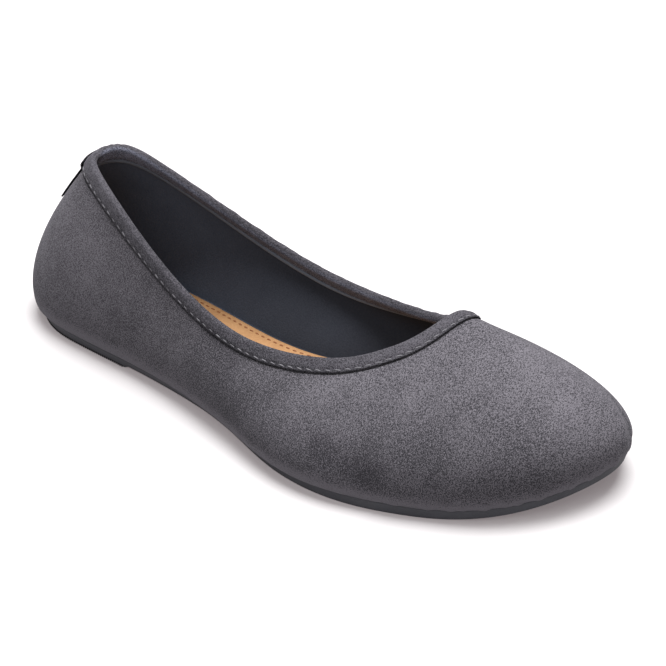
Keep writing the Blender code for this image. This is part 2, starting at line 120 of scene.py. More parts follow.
def ease(value: Numbers, start: float, end: float) -> Array:
    """Smooth step.

    Args:
        value: where to read the step.
        start: where it is 0.
        end: where it is 1.

    Returns:
        The step at each value.
    """
    share = np.clip((np.asarray(value, float) - start) / (end - start), 0.0, 1.0)
    return share * share * (3.0 - 2.0 * share)


def mix(first: Numbers, second: Numbers, share: Numbers) -> Numbers:
    """Value between first and second."""
    return first + (second - first) * share


def hump(distance: Numbers, width: Numbers) -> Array:
    """Soft bell of height 1 that falls off over width."""
    return np.exp(-((np.asarray(distance, float) / width) ** 2))


def waves(turns: Numbers, parts: Sequence[Triple]) -> Array:
    """Sum of sine waves, each part of it a rate, a height and a phase."""
    return sum(high * np.sin(2.0 * np.pi * rate * turns + phase) for rate, high, phase in parts)


def unit(rows: Array) -> Array:
    """Rows scaled to a length of 1."""
    return rows / np.linalg.norm(rows, axis=1, keepdims=True)


def lengths_along(line: Array) -> Array:
    """Length from a line's start to each of its points."""
    return np.append(0.0, np.cumsum(np.linalg.norm(np.diff(line, axis=0), axis=1)))


def at_pitch(loop: Array, line: Array, pitch: float, phase: float) -> Array:
    """Places for an even row of small pieces along a line round the foot.

    Args:
        loop: places of the line's points on the loop.
        line: the points.
        pitch: about how far apart the pieces lie.
        phase: place of the first one, of the pitch.

    Returns:
        A place on the loop for each piece.
    """
    run = lengths_along(line)
    count = int(run[-1] // pitch)
    return np.interp((np.arange(count) + phase) * run[-1] / count, run, loop)


def closed_spline(knots: Array, values: Array) -> Callable[[Array, int], Array]:
    """Smooth closed curve through values.

    Args:
        knots: places of the values, from 0 up to less than 1.
        values: one row for each knot.

    Returns:
        A function of places and an order, 0 for points and 1 for their derivative.
    """
    count = len(values)
    widths = np.diff(np.append(knots, 1.0))
    matrix = np.zeros((count, count))
    slopes = (np.roll(values, -1, axis=0) - values) / widths[:, None]
    for row in range(count):
        matrix[row, row - 1] += widths[row - 1]
        matrix[row, row] += 2.0 * (widths[row - 1] + widths[row])
        matrix[row, (row + 1) % count] += widths[row]
    bends = np.linalg.solve(matrix, 6.0 * (slopes - np.roll(slopes, 1, axis=0)))

    def evaluate(u: Array, order: int = 0) -> Array:
        """Points on the curve, or its first derivative."""
        u = np.mod(np.asarray(u, float), 1.0)
        here = np.clip(np.searchsorted(knots, u, side="right") - 1, 0, count - 1)
        after = (here + 1) % count
        width = widths[here][:, None]
        right = (u - knots[here])[:, None] / width
        left = 1.0 - right
        if order == 0:
            lift = (left**3 - left) * bends[here] + (right**3 - right) * bends[after]
            return left * values[here] + right * values[after] + lift * width**2 / 6.0
        lift = (1.0 - 3.0 * left**2) * bends[here] + (3.0 * right**2 - 1.0) * bends[after]
        return (values[after] - values[here]) / width + lift * width / 6.0

    return evaluate


@dataclass(frozen=True)
class Last:
    """The foot form: feather line, topline and the wall between them."""

    length: float = 0.241
    ball_width: float = 0.086
    heel_width: float = 0.049
    collar_width: float = 0.0545
    vamp_length: float = 0.0585
    heel_height: float = 0.0652
    side_height: float = 0.0334
    instep_height: float = 0.0501
    wall_swell: float = 0.005
    heel_thickness: float = 0.0042
    ball_thickness: float = 0.0038
    toe_spring: float = 0.0076
    piece_gap: float = 0.0003
    waist_start: float = 0.40
    waist_end: float = 0.60
    spring_start: float = 0.80
    spring_power: float = 2.3
    widening_start: float = 0.10
    widening_end: float = 0.76
    opening_low: float = 0.72
    loop_samples: int = 2001
    sock_inset: float = 0.0020
    upper_wall: float = 0.0014
    binding_width: float = 0.0046
    binding_thickness: float = 0.0006

    @cached_property
    def rows(self) -> Array:
        """Sizes at every station."""
        return np.array([self.station_sizes(station) for station in STATIONS])

    @cached_property
    def chords(self) -> Array:
        """Plan lengths from each station to the next."""
        return np.linalg.norm(np.roll(self.rows[:, :2], -1, axis=0) - self.rows[:, :2], axis=1)

    @cached_property
    def loop_length(self) -> float:
        """Length of the loop round the foot."""
        return float(self.chords.sum())

    @cached_property
    def curve(self) -> Callable[[Array, int], Array]:
        """Smooth closed curve through the stations."""
        knots = np.concatenate(([0.0], np.cumsum(self.chords)[:-1])) / self.loop_length
        return closed_spline(knots, self.rows)

    @cached_property
    def toe_u(self) -> float:
        """Place on the loop that is furthest forward."""
        loop = np.linspace(0.0, 1.0, self.loop_samples)
        return float(loop[np.argmax(self.curve(loop, 0)[:, 0])])

    @cached_property
    def heel_u(self) -> float:
        """Place on the loop that is furthest back."""
        loop = np.linspace(-0.5, 0.5, self.loop_samples)
        return float(loop[np.argmin(self.curve(loop, 0)[:, 0])])

    @cached_property
    def place(self) -> Array:
        """Where the last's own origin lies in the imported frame, from the insole's box."""
        outline = self.feather(np.linspace(0.0, 1.0, self.loop_samples), self.sock_inset)
        low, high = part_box("insole")
        middle = np.array([(low.x + high.x) / 2.0, (low.y + high.y) / 2.0])
        return np.append(middle - (outline.min(axis=0) + outline.max(axis=0)) / 2.0, 0.0)

    def station_sizes(self, station: Station) -> List[float]:
        """Feather x, y, topline x, y, z, the wall's four handles and the binding's width."""
        widening = float(ease(station.along, self.widening_start, self.widening_end))
        crest = self.heel_height if station.top_along < self.opening_low else self.instep_height
        foot_x = station.along * self.length
        top_z = mix(self.side_height, crest, station.climb)
        wall = top_z - float(self.bed_height(foot_x))
        return [
            foot_x,
            station.across * mix(self.heel_width, self.ball_width, widening),
            station.top_along * (self.length - self.vamp_length),
            station.top_across * self.collar_width,
            top_z,
            station.swell * self.wall_swell,
            station.rise * wall,
            station.lean * self.vamp_length,
            station.drop * wall,
            station.strip * self.binding_width,
        ]

    def spring(self, x: Numbers) -> Array:
        """Rise of the forefoot towards the toe tip, as a share of the toe spring."""
        start = self.spring_start * self.length
        share = (np.asarray(x, float) - start) / (self.length - start)
        return np.clip(share, 0.0, None) ** self.spring_power

    def bed_height(self, x: Numbers) -> Array:
        """Height of the feather line over the floor."""
        share = np.asarray(x, float) / self.length
        waist = ease(share, self.waist_start, self.waist_end)
        base = mix(self.heel_thickness, self.ball_thickness, waist)
        return base + self.piece_gap + self.toe_spring * self.spring(x)

    def strip_width(self, u: Array) -> Array:
        """Width of the binding's outer side."""
        return self.curve(u, 0)[:, 9]

    def outward(self, u: Array) -> Array:
        """Unit plan directions away from the foot, square to the feather line."""
        run = unit(self.curve(u, 1)[:, :2])
        return np.stack([run[:, 1], -run[:, 0]], axis=1)

    def level_out(self, u: Array) -> Array:
        """The same directions, with a height of 0."""
        return np.column_stack([self.outward(u), np.zeros(len(u))])

    def foot(self, u: Array) -> Array:
        """Points on the feather line."""
        return self.wall(u, np.zeros(len(u)))

    def feather(self, u: Array, inset: Numbers) -> Array:
        """Plan points inside the feather line, on the last's own axes."""
        return self.curve(u, 0)[:, :2] - self.outward(u) * np.reshape(inset, (-1, 1))

    def wall(self, u: Array, t: Array) -> Array:
        """Outer face of the upper: t is 0 at the feather line and 1 at the topline."""
        row = self.curve(u, 0)
        out = self.level_out(u)
        up = np.array([0.0, 0.0, 1.0])
        foot = np.column_stack([row[:, :2], self.bed_height(row[:, 0])])
        top = row[:, 2:5]
        low = foot + out * row[:, 5:6] + up * row[:, 6:7]
        high = top + out * row[:, 7:8] - up * row[:, 8:9]
        t = np.reshape(t, (-1, 1))
        s = 1.0 - t
        return s**3 * foot + 3.0 * s**2 * t * low + 3.0 * s * t**2 * high + t**3 * top

    def normal(self, u: Array, t: Array) -> Array:
        """Unit directions out of the outer face."""
        side = self.wall(u + CURVE_STEP, t) - self.wall(u - CURVE_STEP, t)
        rise = self.wall(u, t + CURVE_STEP) - self.wall(u, t - CURVE_STEP)
        return unit(np.cross(side, rise))

    def loop_at(self, x: Array, inner: bool) -> Array:
        """Places on the loop where the feather line passes x on one side."""
        start, end = (self.toe_u, self.heel_u + 1.0) if inner else (self.heel_u, self.toe_u)
        loop = np.linspace(start, end, self.loop_samples)
        plan = self.curve(loop, 0)[:, 0]
        if inner:
            return np.interp(-x, -plan, loop)
        return np.interp(x, plan, loop)


class WallColumns:
    """Columns up the wall, so that a place can be given as a length below the topline."""

    SAMPLES = 121

    def __init__(self, last: Last, loop: Array) -> None:
        """Measure the wall at each place of the loop.

        Args:
            last: the foot form.
            loop: places round the foot.
        """
        self.last = last
        self.loop = loop
        self.share = np.linspace(1.0, 0.0, self.SAMPLES)
        lines = np.stack([last.wall(loop, np.full(len(loop), t)) for t in self.share], axis=1)
        steps = np.linalg.norm(np.diff(lines, axis=1), axis=2)
        self.run = np.hstack([np.zeros((len(loop), 1)), np.cumsum(steps, axis=1)])
        self.height = self.run[:, -1]

    def share_below(self, distance: Numbers) -> Array:
        """Where each column lies that far below the topline."""
        wanted = np.broadcast_to(np.asarray(distance, float), self.loop.shape)
        after = np.clip((self.run < wanted[:, None]).sum(axis=1), 1, self.SAMPLES - 1)
        column = np.arange(len(self.loop))
        low, high = self.run[column, after - 1], self.run[column, after]
        part = np.clip((wanted - low) / (high - low), 0.0, 1.0)
        return mix(self.share[after - 1], self.share[after], part)

    def point(self, distance: Numbers, offset: Numbers) -> Array:
        """Points that far below the topline and that far over the outer face.

        Args:
            distance: length below the topline, along the wall.
            offset: height over the outer face, below 0 inside the shoe.

        Returns:
            One point for each column, on the last's own axes.
        """
        share = self.share_below(distance)
        normal = self.last.normal(self.loop, share)
        return self.last.wall(self.loop, share) + normal * np.reshape(offset, (-1, 1))


def clear_selection() -> None:
    """Deselect everything, in object mode."""
    if bpy.context.object is not None and bpy.context.object.mode != "OBJECT":
        bpy.ops.object.mode_set(mode="OBJECT")
    bpy.ops.object.select_all(action="DESELECT")


def activate(shape: Shape) -> None:
    """Make a shape the only one selected."""
    clear_selection()
    shape.select_set(True)
    bpy.context.view_layer.objects.active = shape


@contextmanager
def editing(shape: Shape) -> Iterator[None]:
    """Edit mode, with the whole of a shape selected."""
    activate(shape)
    bpy.ops.object.mode_set(mode="EDIT")
    bpy.ops.mesh.select_all(action="SELECT")
    yield
    bpy.ops.object.mode_set(mode="OBJECT")


def weld(shape: Shape) -> None:
    """Join corners that lie on each other."""
    with editing(shape):
        bpy.ops.mesh.remove_doubles(threshold=MERGE_DISTANCE)
        bpy.ops.mesh.dissolve_degenerate(threshold=MERGE_DISTANCE)


def outward_faces(shape: Shape) -> None:
    """Turn a closed shape's faces outwards."""
    with editing(shape):
        bpy.ops.mesh.normals_make_consistent(inside=False)


def apply_scale(shape: Shape) -> None:
    """Put a shape's scale into its mesh."""
    activate(shape)
    bpy.ops.object.transform_apply(location=False, rotation=False, scale=True)


def ball(segments: int, rings: int, radius: float = 1.0) -> Shape:
    """New ball at the origin."""
    clear_selection()
    bpy.ops.mesh.primitive_uv_sphere_add(segments=segments, ring_count=rings, radius=radius)
    return bpy.context.object


def stitch(template: Shape, length: float, radius: float) -> Shape:
    """Ball shaped into one stitch, which dips into the cloth at both ends."""
    for vertex in template.data.vertices:
        x, y, z = vertex.co
        along = math.copysign(abs(z) ** STITCH_FULLNESS, z)
        dip = radius * STITCH_DIP * abs(along) ** 3
        vertex.co = (along * length / 2.0, x * radius, y * radius - dip)
    return template


def sheet(
    name: str,
    points: Array,
    size: Tuple[float, float],
    marks: Optional[Dict[str, Array]] = None,
) -> Shape:
    """Sheet from a grid primitive, each corner moved to its place and welded.

    Args:
        name: name of the piece.
        points: places as rows and columns. A closed sheet repeats its first one last.
        size: real length and height of the sheet, for its UV map.
        marks: values at each corner that the material reads, by name.

    Returns:
        The new object, with its place in its mesh.
    """
    rows, columns = points.shape[:2]
    clear_selection()
    bpy.ops.mesh.primitive_grid_add(
        x_subdivisions=columns - 1, y_subdivisions=rows - 1, size=2.0, calc_uvs=True
    )
    shape = bpy.context.object
    shape.name = name
    mesh = shape.data
    mesh.name = name
    corners = np.empty(len(mesh.vertices) * 3)
    mesh.vertices.foreach_get("co", corners)
    share = (corners.reshape(-1, 3)[:, :2] + 1.0) / 2.0
    column = np.rint(share[:, 0] * (columns - 1)).astype(int)
    row = np.rint(share[:, 1] * (rows - 1)).astype(int)
    mesh.vertices.foreach_set("co", points[row, column].ravel())
    for key, values in (marks or {}).items():
        layer = mesh.attributes.new(key, "FLOAT", "POINT")
        layer.data.foreach_set("value", values[row, column])
    mapped = np.empty(len(mesh.loops) * 2)
    mesh.uv_layers[0].data.foreach_get("uv", mapped)
    mesh.uv_layers[0].data.foreach_set("uv", (mapped.reshape(-1, 2) * size).ravel())
    mesh.update()
    weld(shape)
    mesh.shade_smooth()
    return shape


def thicken(shape: Shape, thickness: float) -> None:
    """Give a sheet its wall on its inner side, and apply it."""
    activate(shape)
    wall = shape.modifiers.new("wall", "SOLIDIFY")
    wall.thickness = thickness
    wall.offset = -1.0
    wall.use_even_offset = True
    wall.use_rim = True
    bpy.ops.object.modifier_apply(modifier=wall.name)


def dress(shape: Shape, finish: bpy.types.Material) -> None:
    """Give a piece its material, and let it ride on the shoe."""
    shape.data.materials.clear()
    shape.data.materials.append(finish)
    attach(shape, BODY)
    shape.data.calc_loop_triangles()
    LOG.info("%s: %d triangles", shape.name, len(shape.data.loop_triangles))


def strewn(name: str, template: Shape, places: Sequence[Matrix]) -> Shape:
    """One mesh of copies of a small piece.

    Args:
        name: name of the joined piece.
        template: the piece at the origin, removed afterwards.
        places: a matrix for each copy.

    Returns:
        The joined object.
    """
    source = template.data
    count = len(source.vertices)
    local = np.empty(count * 3)
    source.vertices.foreach_get("co", local)
    local = np.column_stack([local.reshape(-1, 3), np.ones(count)])
    faces = [tuple(face.vertices) for face in source.polygons]
    corners = []
    loops = []
    for index, place in enumerate(places):
        corners.append((local @ np.array(place).T)[:, :3])
        loops.extend(tuple(corner + index * count for corner in face) for face in faces)
    mesh = bpy.data.meshes.new(name)
    mesh.from_pydata(np.vstack(corners).tolist(), [], loops)
    mesh.update()
    mesh.shade_smooth()
    shape = bpy.data.objects.new(name, mesh)
    bpy.context.scene.collection.objects.link(shape)
    bpy.data.objects.remove(template)
    bpy.data.meshes.remove(source)
    return shape


def set_inputs(node: bpy.types.Node, values: Dict[str, object]) -> None:
    """Set a node's inputs by name."""
    for name, value in values.items():
        node.inputs[name].default_value = value


class Nap(NamedTuple):
    """Sockets of the shared nap effect in one material."""

    tone: Socket
    height: Socket


class Weave:
    """Small helper that adds and joins nodes in one tree."""

    def __init__(self, tree: bpy.types.NodeTree) -> None:
        """Work in the given tree."""
        self.tree = tree

    def node(self, kind: str, **settings: object) -> bpy.types.Node:
        """New node with its properties set."""
        made = self.tree.nodes.new(kind)
        for key, value in settings.items():
            setattr(made, key, value)
        return made

    def feed(self, source: object, socket: Socket) -> None:
        """Join an output to an input, or set the input's value."""
        if isinstance(source, Socket):
            self.tree.links.new(source, socket)
        else:
            socket.default_value = source

    def noise(self, where: Socket, scale: object, detail: float, rough: float) -> Socket:
        """Noise value at a place.

        Args:
            where: coordinates in metres.
            scale: features a metre.
            detail: octaves.
            rough: strength of the finer octaves.

        Returns:
            The noise factor, about 0.5 in the middle.
        """
        made = self.node("ShaderNodeTexNoise")
        self.feed(where, made.inputs["Vector"])
        self.feed(scale, made.inputs["Scale"])
        set_inputs(made, {"Detail": detail, "Roughness": rough})
        return made.outputs["Fac"]

    def stretch(self, where: Socket, turn: Triple, scale: Triple) -> Socket:
        """Coordinates turned and stretched."""
        made = self.node("ShaderNodeMapping")
        self.feed(where, made.inputs["Vector"])
        set_inputs(made, {"Rotation": turn, "Scale": scale})
        return made.outputs["Vector"]

    def math(self, kind: str, first: object, second: object) -> Socket:
        """Arithmetic on two values."""
        made = self.node("ShaderNodeMath", operation=kind)
        self.feed(first, made.inputs[0])
        self.feed(second, made.inputs[1])
        return made.outputs[0]

    def centred(self, value: object, strength: object) -> Socket:
        """Value less its middle of 0.5, times a strength."""
        return self.math("MULTIPLY", self.math("SUBTRACT", value, 0.5), strength)

    def halved(self, first: object, second: object) -> Socket:
        """Mean of two values."""
        return self.math("MULTIPLY", self.math("ADD", first, second), 0.5)

    def softened(self, value: object) -> Socket:
        """Value kept between 0 and 1, with soft ends."""
        made = self.node("ShaderNodeMapRange", interpolation_type="SMOOTHSTEP")
        self.feed(value, made.inputs["Value"])
        set_inputs(made, {"From Min": 0.0, "From Max": 1.0, "To Min": 0.0, "To Max": 1.0})
        return made.outputs["Result"]

    def mark(self, name: str) -> Socket:
        """Value that a mesh holds at each corner, 0 where it holds none."""
        return self.node("ShaderNodeAttribute", attribute_name=name).outputs["Fac"]

    def blend(self, share: object, first: object, second: object, kind: str = "MIX") -> object:
        """Colour between two colours."""
        made = self.node("ShaderNodeMix", data_type="RGBA", blend_type=kind)
        self.feed(share, made.inputs["Factor"])
        for source, index in ((first, 6), (second, 7)):
            value = source if isinstance(source, Socket) else (*source, 1.0)
            self.feed(value, made.inputs[index])
        return made.outputs[2]


class Lay(NamedTuple):
    """Direction in which the nap is brushed, and the noise along it."""

    turn: Triple  # of the coordinates, in radians
    stretch: Triple
    noise: Tuple[float, ...]  # features a metre, octaves and roughness


GRAIN_LAYS = (  # each finish gives the features a metre of its grain
    Lay((0.0, 0.0, 0.7), (1.0, 0.45, 0.8), (3.0, 0.65)),
    Lay((0.4, 0.0, -0.75), (1.0, 0.45, 0.8), (2.0, 0.6)),
)
BRUSH = Lay((0.2, 0.5, 0.9), (1.0, 0.22, 1.0), (130.0, 3.0, 0.6))
BLOTCH_NOISE = (55.0, 4.0, 0.55)
PATCH_NOISE = (19.0, 3.0, 0.5)
DUST_NOISE = (90.0, 4.0, 0.6)
PORE_NOISE = (4.0, 0.7)
PLY_NOISE = (2.0, 0.5)
SEAM_SHADE_SHARE = 0.25  # of the dark colour, painted shade in the groove under the binding


def nap_group() -> bpy.types.NodeTree:
    """Shared effect of a short brushed nap: blotches, brushed streaks and fine grain.

    Returns:
        A node group with Place, Grain, Blotch, Streak and Depth, and Tone and Height.
    """
    group = bpy.data.node_groups.new("brushed_nap", "ShaderNodeTree")
    interface = group.interface
    interface.new_socket("Place", in_out="INPUT", socket_type="NodeSocketVector")
    for name, value in (("Grain", 1300.0), ("Blotch", 0.5), ("Streak", 0.5), ("Depth", 1.0)):
        made = interface.new_socket(name, in_out="INPUT", socket_type="NodeSocketFloat")
        made.default_value = value
    interface.new_socket("Tone", in_out="OUTPUT", socket_type="NodeSocketFloat")
    interface.new_socket("Height", in_out="OUTPUT", socket_type="NodeSocketFloat")
    weave = Weave(group)
    inside = weave.node("NodeGroupInput")
    outside = weave.node("NodeGroupOutput")
    place = inside.outputs["Place"]
    grains = [
        weave.noise(weave.stretch(place, lay.turn, lay.stretch), inside.outputs["Grain"], *lay.noise)
        for lay in GRAIN_LAYS
    ]
    grain = weave.halved(*grains)
    blotch = weave.noise(place, *BLOTCH_NOISE)
    patch = weave.noise(place, *PATCH_NOISE)
    brushed = weave.noise(weave.stretch(place, BRUSH.turn, BRUSH.stretch), *BRUSH.noise)
    cloud = weave.centred(weave.halved(blotch, patch), inside.outputs["Blotch"])
    streak = weave.centred(brushed, inside.outputs["Streak"])
    speck = weave.centred(grain, inside.outputs["Depth"])
    tone = weave.math("ADD", weave.math("ADD", cloud, streak), weave.math("ADD", speck, 0.5))
    weave.feed(tone, outside.inputs["Tone"])
    weave.feed(grain, outside.inputs["Height"])
    return group


class FinishKind(Enum):
    """How a finish is made."""

    SUEDE = "suede"
    TEXTILE = "textile"
    SOCK = "sock"
    RUBBER = "rubber"
    THREAD = "thread"


@dataclass(frozen=True)
class Finish:
    """One finish, with the values that its kind reads."""

    name: str
    kind: FinishKind
    dark: Colour
    light: Colour
    roughness: float
    grain: float = 1300.0
    blotch: float = 0.5
    streak: float = 0.5
    contrast: float = 1.0
    relief: float = 0.0002
    sheen: float = 0.0
    sheen_roughness: float = 0.5
    sheen_tint: Colour = (1.0, 1.0, 1.0)
    specular: float = 0.3
    # Painted light: the colour is multiplied by this where the mesh's lift mark is 1.
    painted_light_tint: Colour = (1.0, 1.0, 1.0)

    def make(self, nap: bpy.types.NodeTree) -> bpy.types.Material:
        """Build the material.

        Args:
            nap: the shared nap effect.

        Returns:
            The finished material.
        """
        made = bpy.data.materials.new(self.name)
        made.use_nodes = True
        tree = made.node_tree
        shader = tree.nodes["Principled BSDF"]
        constants = {
            "Roughness": self.roughness,
            "Specular IOR Level": self.specular,
            "Sheen Weight": self.sheen,
            "Sheen Roughness": self.sheen_roughness,
            "Sheen Tint": (*self.sheen_tint, 1.0),
        }
        set_inputs(shader, constants)
        weave = Weave(tree)
        place = weave.node("ShaderNodeTexCoord").outputs["Object"]
        if self.kind in (FinishKind.SUEDE, FinishKind.SOCK, FinishKind.TEXTILE):
            sockets = self.napped(weave, nap, place)
        elif self.kind is FinishKind.RUBBER:
            sockets = self.moulded(weave, place)
        else:
            sockets = self.twisted(weave, place)
        suede = self.kind is FinishKind.SUEDE
        # Painted light and shade: the lay mark lightens or darkens the tone at the creases, the lip and
        # the binding.
        tone = weave.math("ADD", sockets.tone, weave.mark("lay")) if suede else sockets.tone
        colour = weave.blend(weave.softened(tone), self.dark, self.light)
        if suede:
            # Painted shade: darker colour in the groove under the binding, where the mesh marks it.
            deep = tuple(SEAM_SHADE_SHARE * value for value in self.dark)
            colour = weave.blend(weave.mark("seam_shade"), colour, deep)
        # Painted light: lighter, cooler colour on the shaded inner faces of the binding and the lining.
        colour = weave.blend(weave.mark("lift"), colour, self.painted_light_tint, "MULTIPLY")
        weave.feed(colour, shader.inputs["Base Color"])
        bump = weave.node("ShaderNodeBump")
        set_inputs(bump, {"Strength": 1.0, "Distance": self.relief})
        weave.feed(sockets.height, bump.inputs["Height"])
        weave.feed(bump.outputs["Normal"], shader.inputs["Normal"])
        return made

    def napped(self, weave: Weave, nap: bpy.types.NodeTree, place: Socket) -> Nap:
        """Tone and height of a brushed or woven cloth."""
        effect = weave.node("ShaderNodeGroup", node_tree=nap)
        weave.feed(place, effect.inputs["Place"])
        values = (self.grain, self.blotch, self.streak, self.contrast)
        set_inputs(effect, dict(zip(("Grain", "Blotch", "Streak", "Depth"), values)))
        return Nap(effect.outputs["Tone"], effect.outputs["Height"])

    def moulded(self, weave: Weave, place: Socket) -> Nap:
        """Tone and height of matt moulded rubber."""
        pores = weave.noise(place, self.grain, *PORE_NOISE)
        return Nap(weave.halved(pores, weave.noise(place, *DUST_NOISE)), pores)

    def twisted(self, weave: Weave, place: Socket) -> Nap:
        """Tone and height of twisted thread."""
        ply = weave.noise(place, self.grain, *PLY_NOISE)
        return Nap(ply, ply)


FINISHES = (
    Finish(
        "grey_suede", FinishKind.SUEDE, (0.0165, 0.0158, 0.0185), (0.0850, 0.0797, 0.0900), 0.95,
        grain=3400.0, blotch=0.65, streak=0.40, contrast=5.8, relief=0.00030,
        sheen=0.04, sheen_roughness=0.45, sheen_tint=(0.85, 0.84, 0.92), specular=0.06,
    ),
    Finish(
        "binding_suede", FinishKind.SUEDE, (0.0115, 0.0111, 0.0132), (0.0520, 0.0490, 0.0563), 0.95,
        grain=3400.0, blotch=0.5, streak=0.40, contrast=5.6, relief=0.00030,
        sheen=0.04, sheen_roughness=0.45, sheen_tint=(0.85, 0.84, 0.92), specular=0.06,
        painted_light_tint=(3.2, 3.5, 3.9),
    ),
    Finish(
        "lining_cloth", FinishKind.TEXTILE, (0.0135, 0.0150, 0.0205), (0.0250, 0.0270, 0.0340), 0.9,
        grain=1800.0, blotch=0.4, streak=0.3, contrast=1.0, relief=0.0002,
        sheen=0.03, specular=0.05, painted_light_tint=(2.9, 3.1, 3.3),
    ),
    # The stay tape is lighter than the lining, as it really is, and lighter still as painted light
    # against the shade under the strip.
    Finish(
        "stay_cloth", FinishKind.TEXTILE, (0.0740, 0.0830, 0.1030), (0.1280, 0.1400, 0.1690), 0.85,
        grain=1800.0, blotch=0.3, streak=0.3, contrast=1.0, relief=0.0002,
        sheen=0.05, specular=0.05,
    ),
    Finish(
        "insole_tan", FinishKind.SOCK, (0.152, 0.075, 0.031), (0.220, 0.122, 0.056), 0.62,
        grain=900.0, blotch=0.5, streak=0.6, contrast=0.7, relief=0.00015,
        sheen=0.03, specular=0.12,
    ),
    Finish(
        "outsole_rubber", FinishKind.RUBBER, (0.0290, 0.0296, 0.0345), (0.0560, 0.0562, 0.0640), 0.62,
        grain=1500.0, relief=0.0001, specular=0.18,
    ),
    Finish(
        "tab_black", FinishKind.TEXTILE, (0.005, 0.005, 0.006), (0.013, 0.013, 0.015), 0.7,
        grain=2000.0, blotch=0.2, streak=0.2, contrast=1.0, relief=0.0001, specular=0.12,
    ),
    Finish(
        "grey_thread", FinishKind.THREAD, (0.060, 0.058, 0.064), (0.115, 0.111, 0.121), 0.7,
        grain=4000.0, relief=0.0001, sheen=0.04, specular=0.12,
    ),
    Finish(
        "brown_thread", FinishKind.THREAD, (0.085, 0.030, 0.011), (0.150, 0.056, 0.022), 0.6,
        grain=4000.0, relief=0.0001, specular=0.12,
    ),
)


class Crease(NamedTuple):
    """Soft trough or ridge on the wall between two places, with a tone mark of painted light and shade.
    """

    name: str
    from_loop: float  # place round the foot
    from_climb: float  # of the wall's length, from the lip
    to_loop: float
    to_climb: float
    width: float
    height: float  # above 0 a ridge, below 0 a trough
    tone: float = 0.0  # above 0 painted highlight, below 0 painted shade, partly brushed nap


# The tones paint shade into troughs, on the shaded side and low down, and light where it falls on the
# vamp, the toe and the heel; partly they are brushed nap.
CREASES = (
    Crease("toe_puff_edge", 0.521, 0.250, 0.513, 0.060, 0.0016, 0.00034),
    Crease("toe_puff_fold", 0.527, 0.210, 0.521, 0.060, 0.0016, -0.00050),
    Crease("flex_outer", 0.395, 0.22, 0.440, 0.62, 0.0080, -0.00055),
    Crease("flex_outer_low", 0.352, 0.20, 0.372, 0.66, 0.0075, -0.00050),
    Crease("vamp_swell", 0.452, 0.30, 0.470, 0.60, 0.0100, 0.00040),
    Crease("vamp_hollow", 0.492, 0.36, 0.520, 0.62, 0.0090, -0.00035),
    Crease("waist_outer", 0.235, 0.18, 0.290, 0.55, 0.0090, -0.00040),
    Crease("counter_edge", 0.125, 0.10, 0.155, 0.72, 0.0060, -0.00025),
    Crease("inner_flex", 0.620, 0.20, 0.590, 0.60, 0.0075, -0.00050),
    Crease("inner_waist", 0.760, 0.15, 0.720, 0.60, 0.0080, -0.00045),
    Crease("inner_counter", 0.880, 0.10, 0.860, 0.70, 0.0060, -0.00025),
    Crease("ball_shadow", 0.335, 0.36, 0.360, 0.19, 0.0052, -0.00030, -0.24),
    Crease("waist_shadow", 0.196, 0.36, 0.206, 0.42, 0.0045, 0.0, -0.16),
    Crease("shank_shadow", 0.255, 0.30, 0.320, 0.34, 0.0100, 0.0, -0.14),
    Crease("low_shadow", 0.375, 0.26, 0.470, 0.17, 0.0130, 0.0, -0.08),
    Crease("vamp_dimple", 0.488, 0.44, 0.490, 0.40, 0.0045, -0.00022, -0.08),
    Crease("vamp_pinch", 0.427, 0.53, 0.454, 0.59, 0.0022, -0.00016, -0.10),
    Crease("throat_pinch", 0.304, 0.68, 0.325, 0.86, 0.0026, -0.00014, -0.10),
    Crease("vamp_side", 0.455, 0.62, 0.478, 0.44, 0.0070, 0.0, -0.05),
    Crease("vamp_light", 0.520, 0.86, 0.503, 0.52, 0.0110, 0.0, 0.08),
    Crease("toe_light", 0.500, 0.34, 0.497, 0.22, 0.0060, 0.0, 0.08),
    Crease("toe_strip", 0.530, 0.26, 0.526, 0.06, 0.0018, 0.0, -0.22),
    Crease("ball_side", 0.385, 0.55, 0.420, 0.42, 0.0110, 0.0, -0.14),
    Crease("waist_side", 0.225, 0.62, 0.285, 0.62, 0.0110, 0.0, -0.19),
    Crease("heel_light", 0.080, 0.60, 0.092, 0.40, 0.0090, 0.0, 0.08),
)


PLEAT_WAVES = ((1.0, 1.0, 0.0), (1.61, 0.7, 1.0), (2.63, 0.5, 2.2))
PLEAT_PEAK = sum(wave[1] for wave in PLEAT_WAVES)
RIPPLE_WAVES = ((37.0, 1.0, 0.0), (83.0, 0.6, 1.3))  # turns round the foot


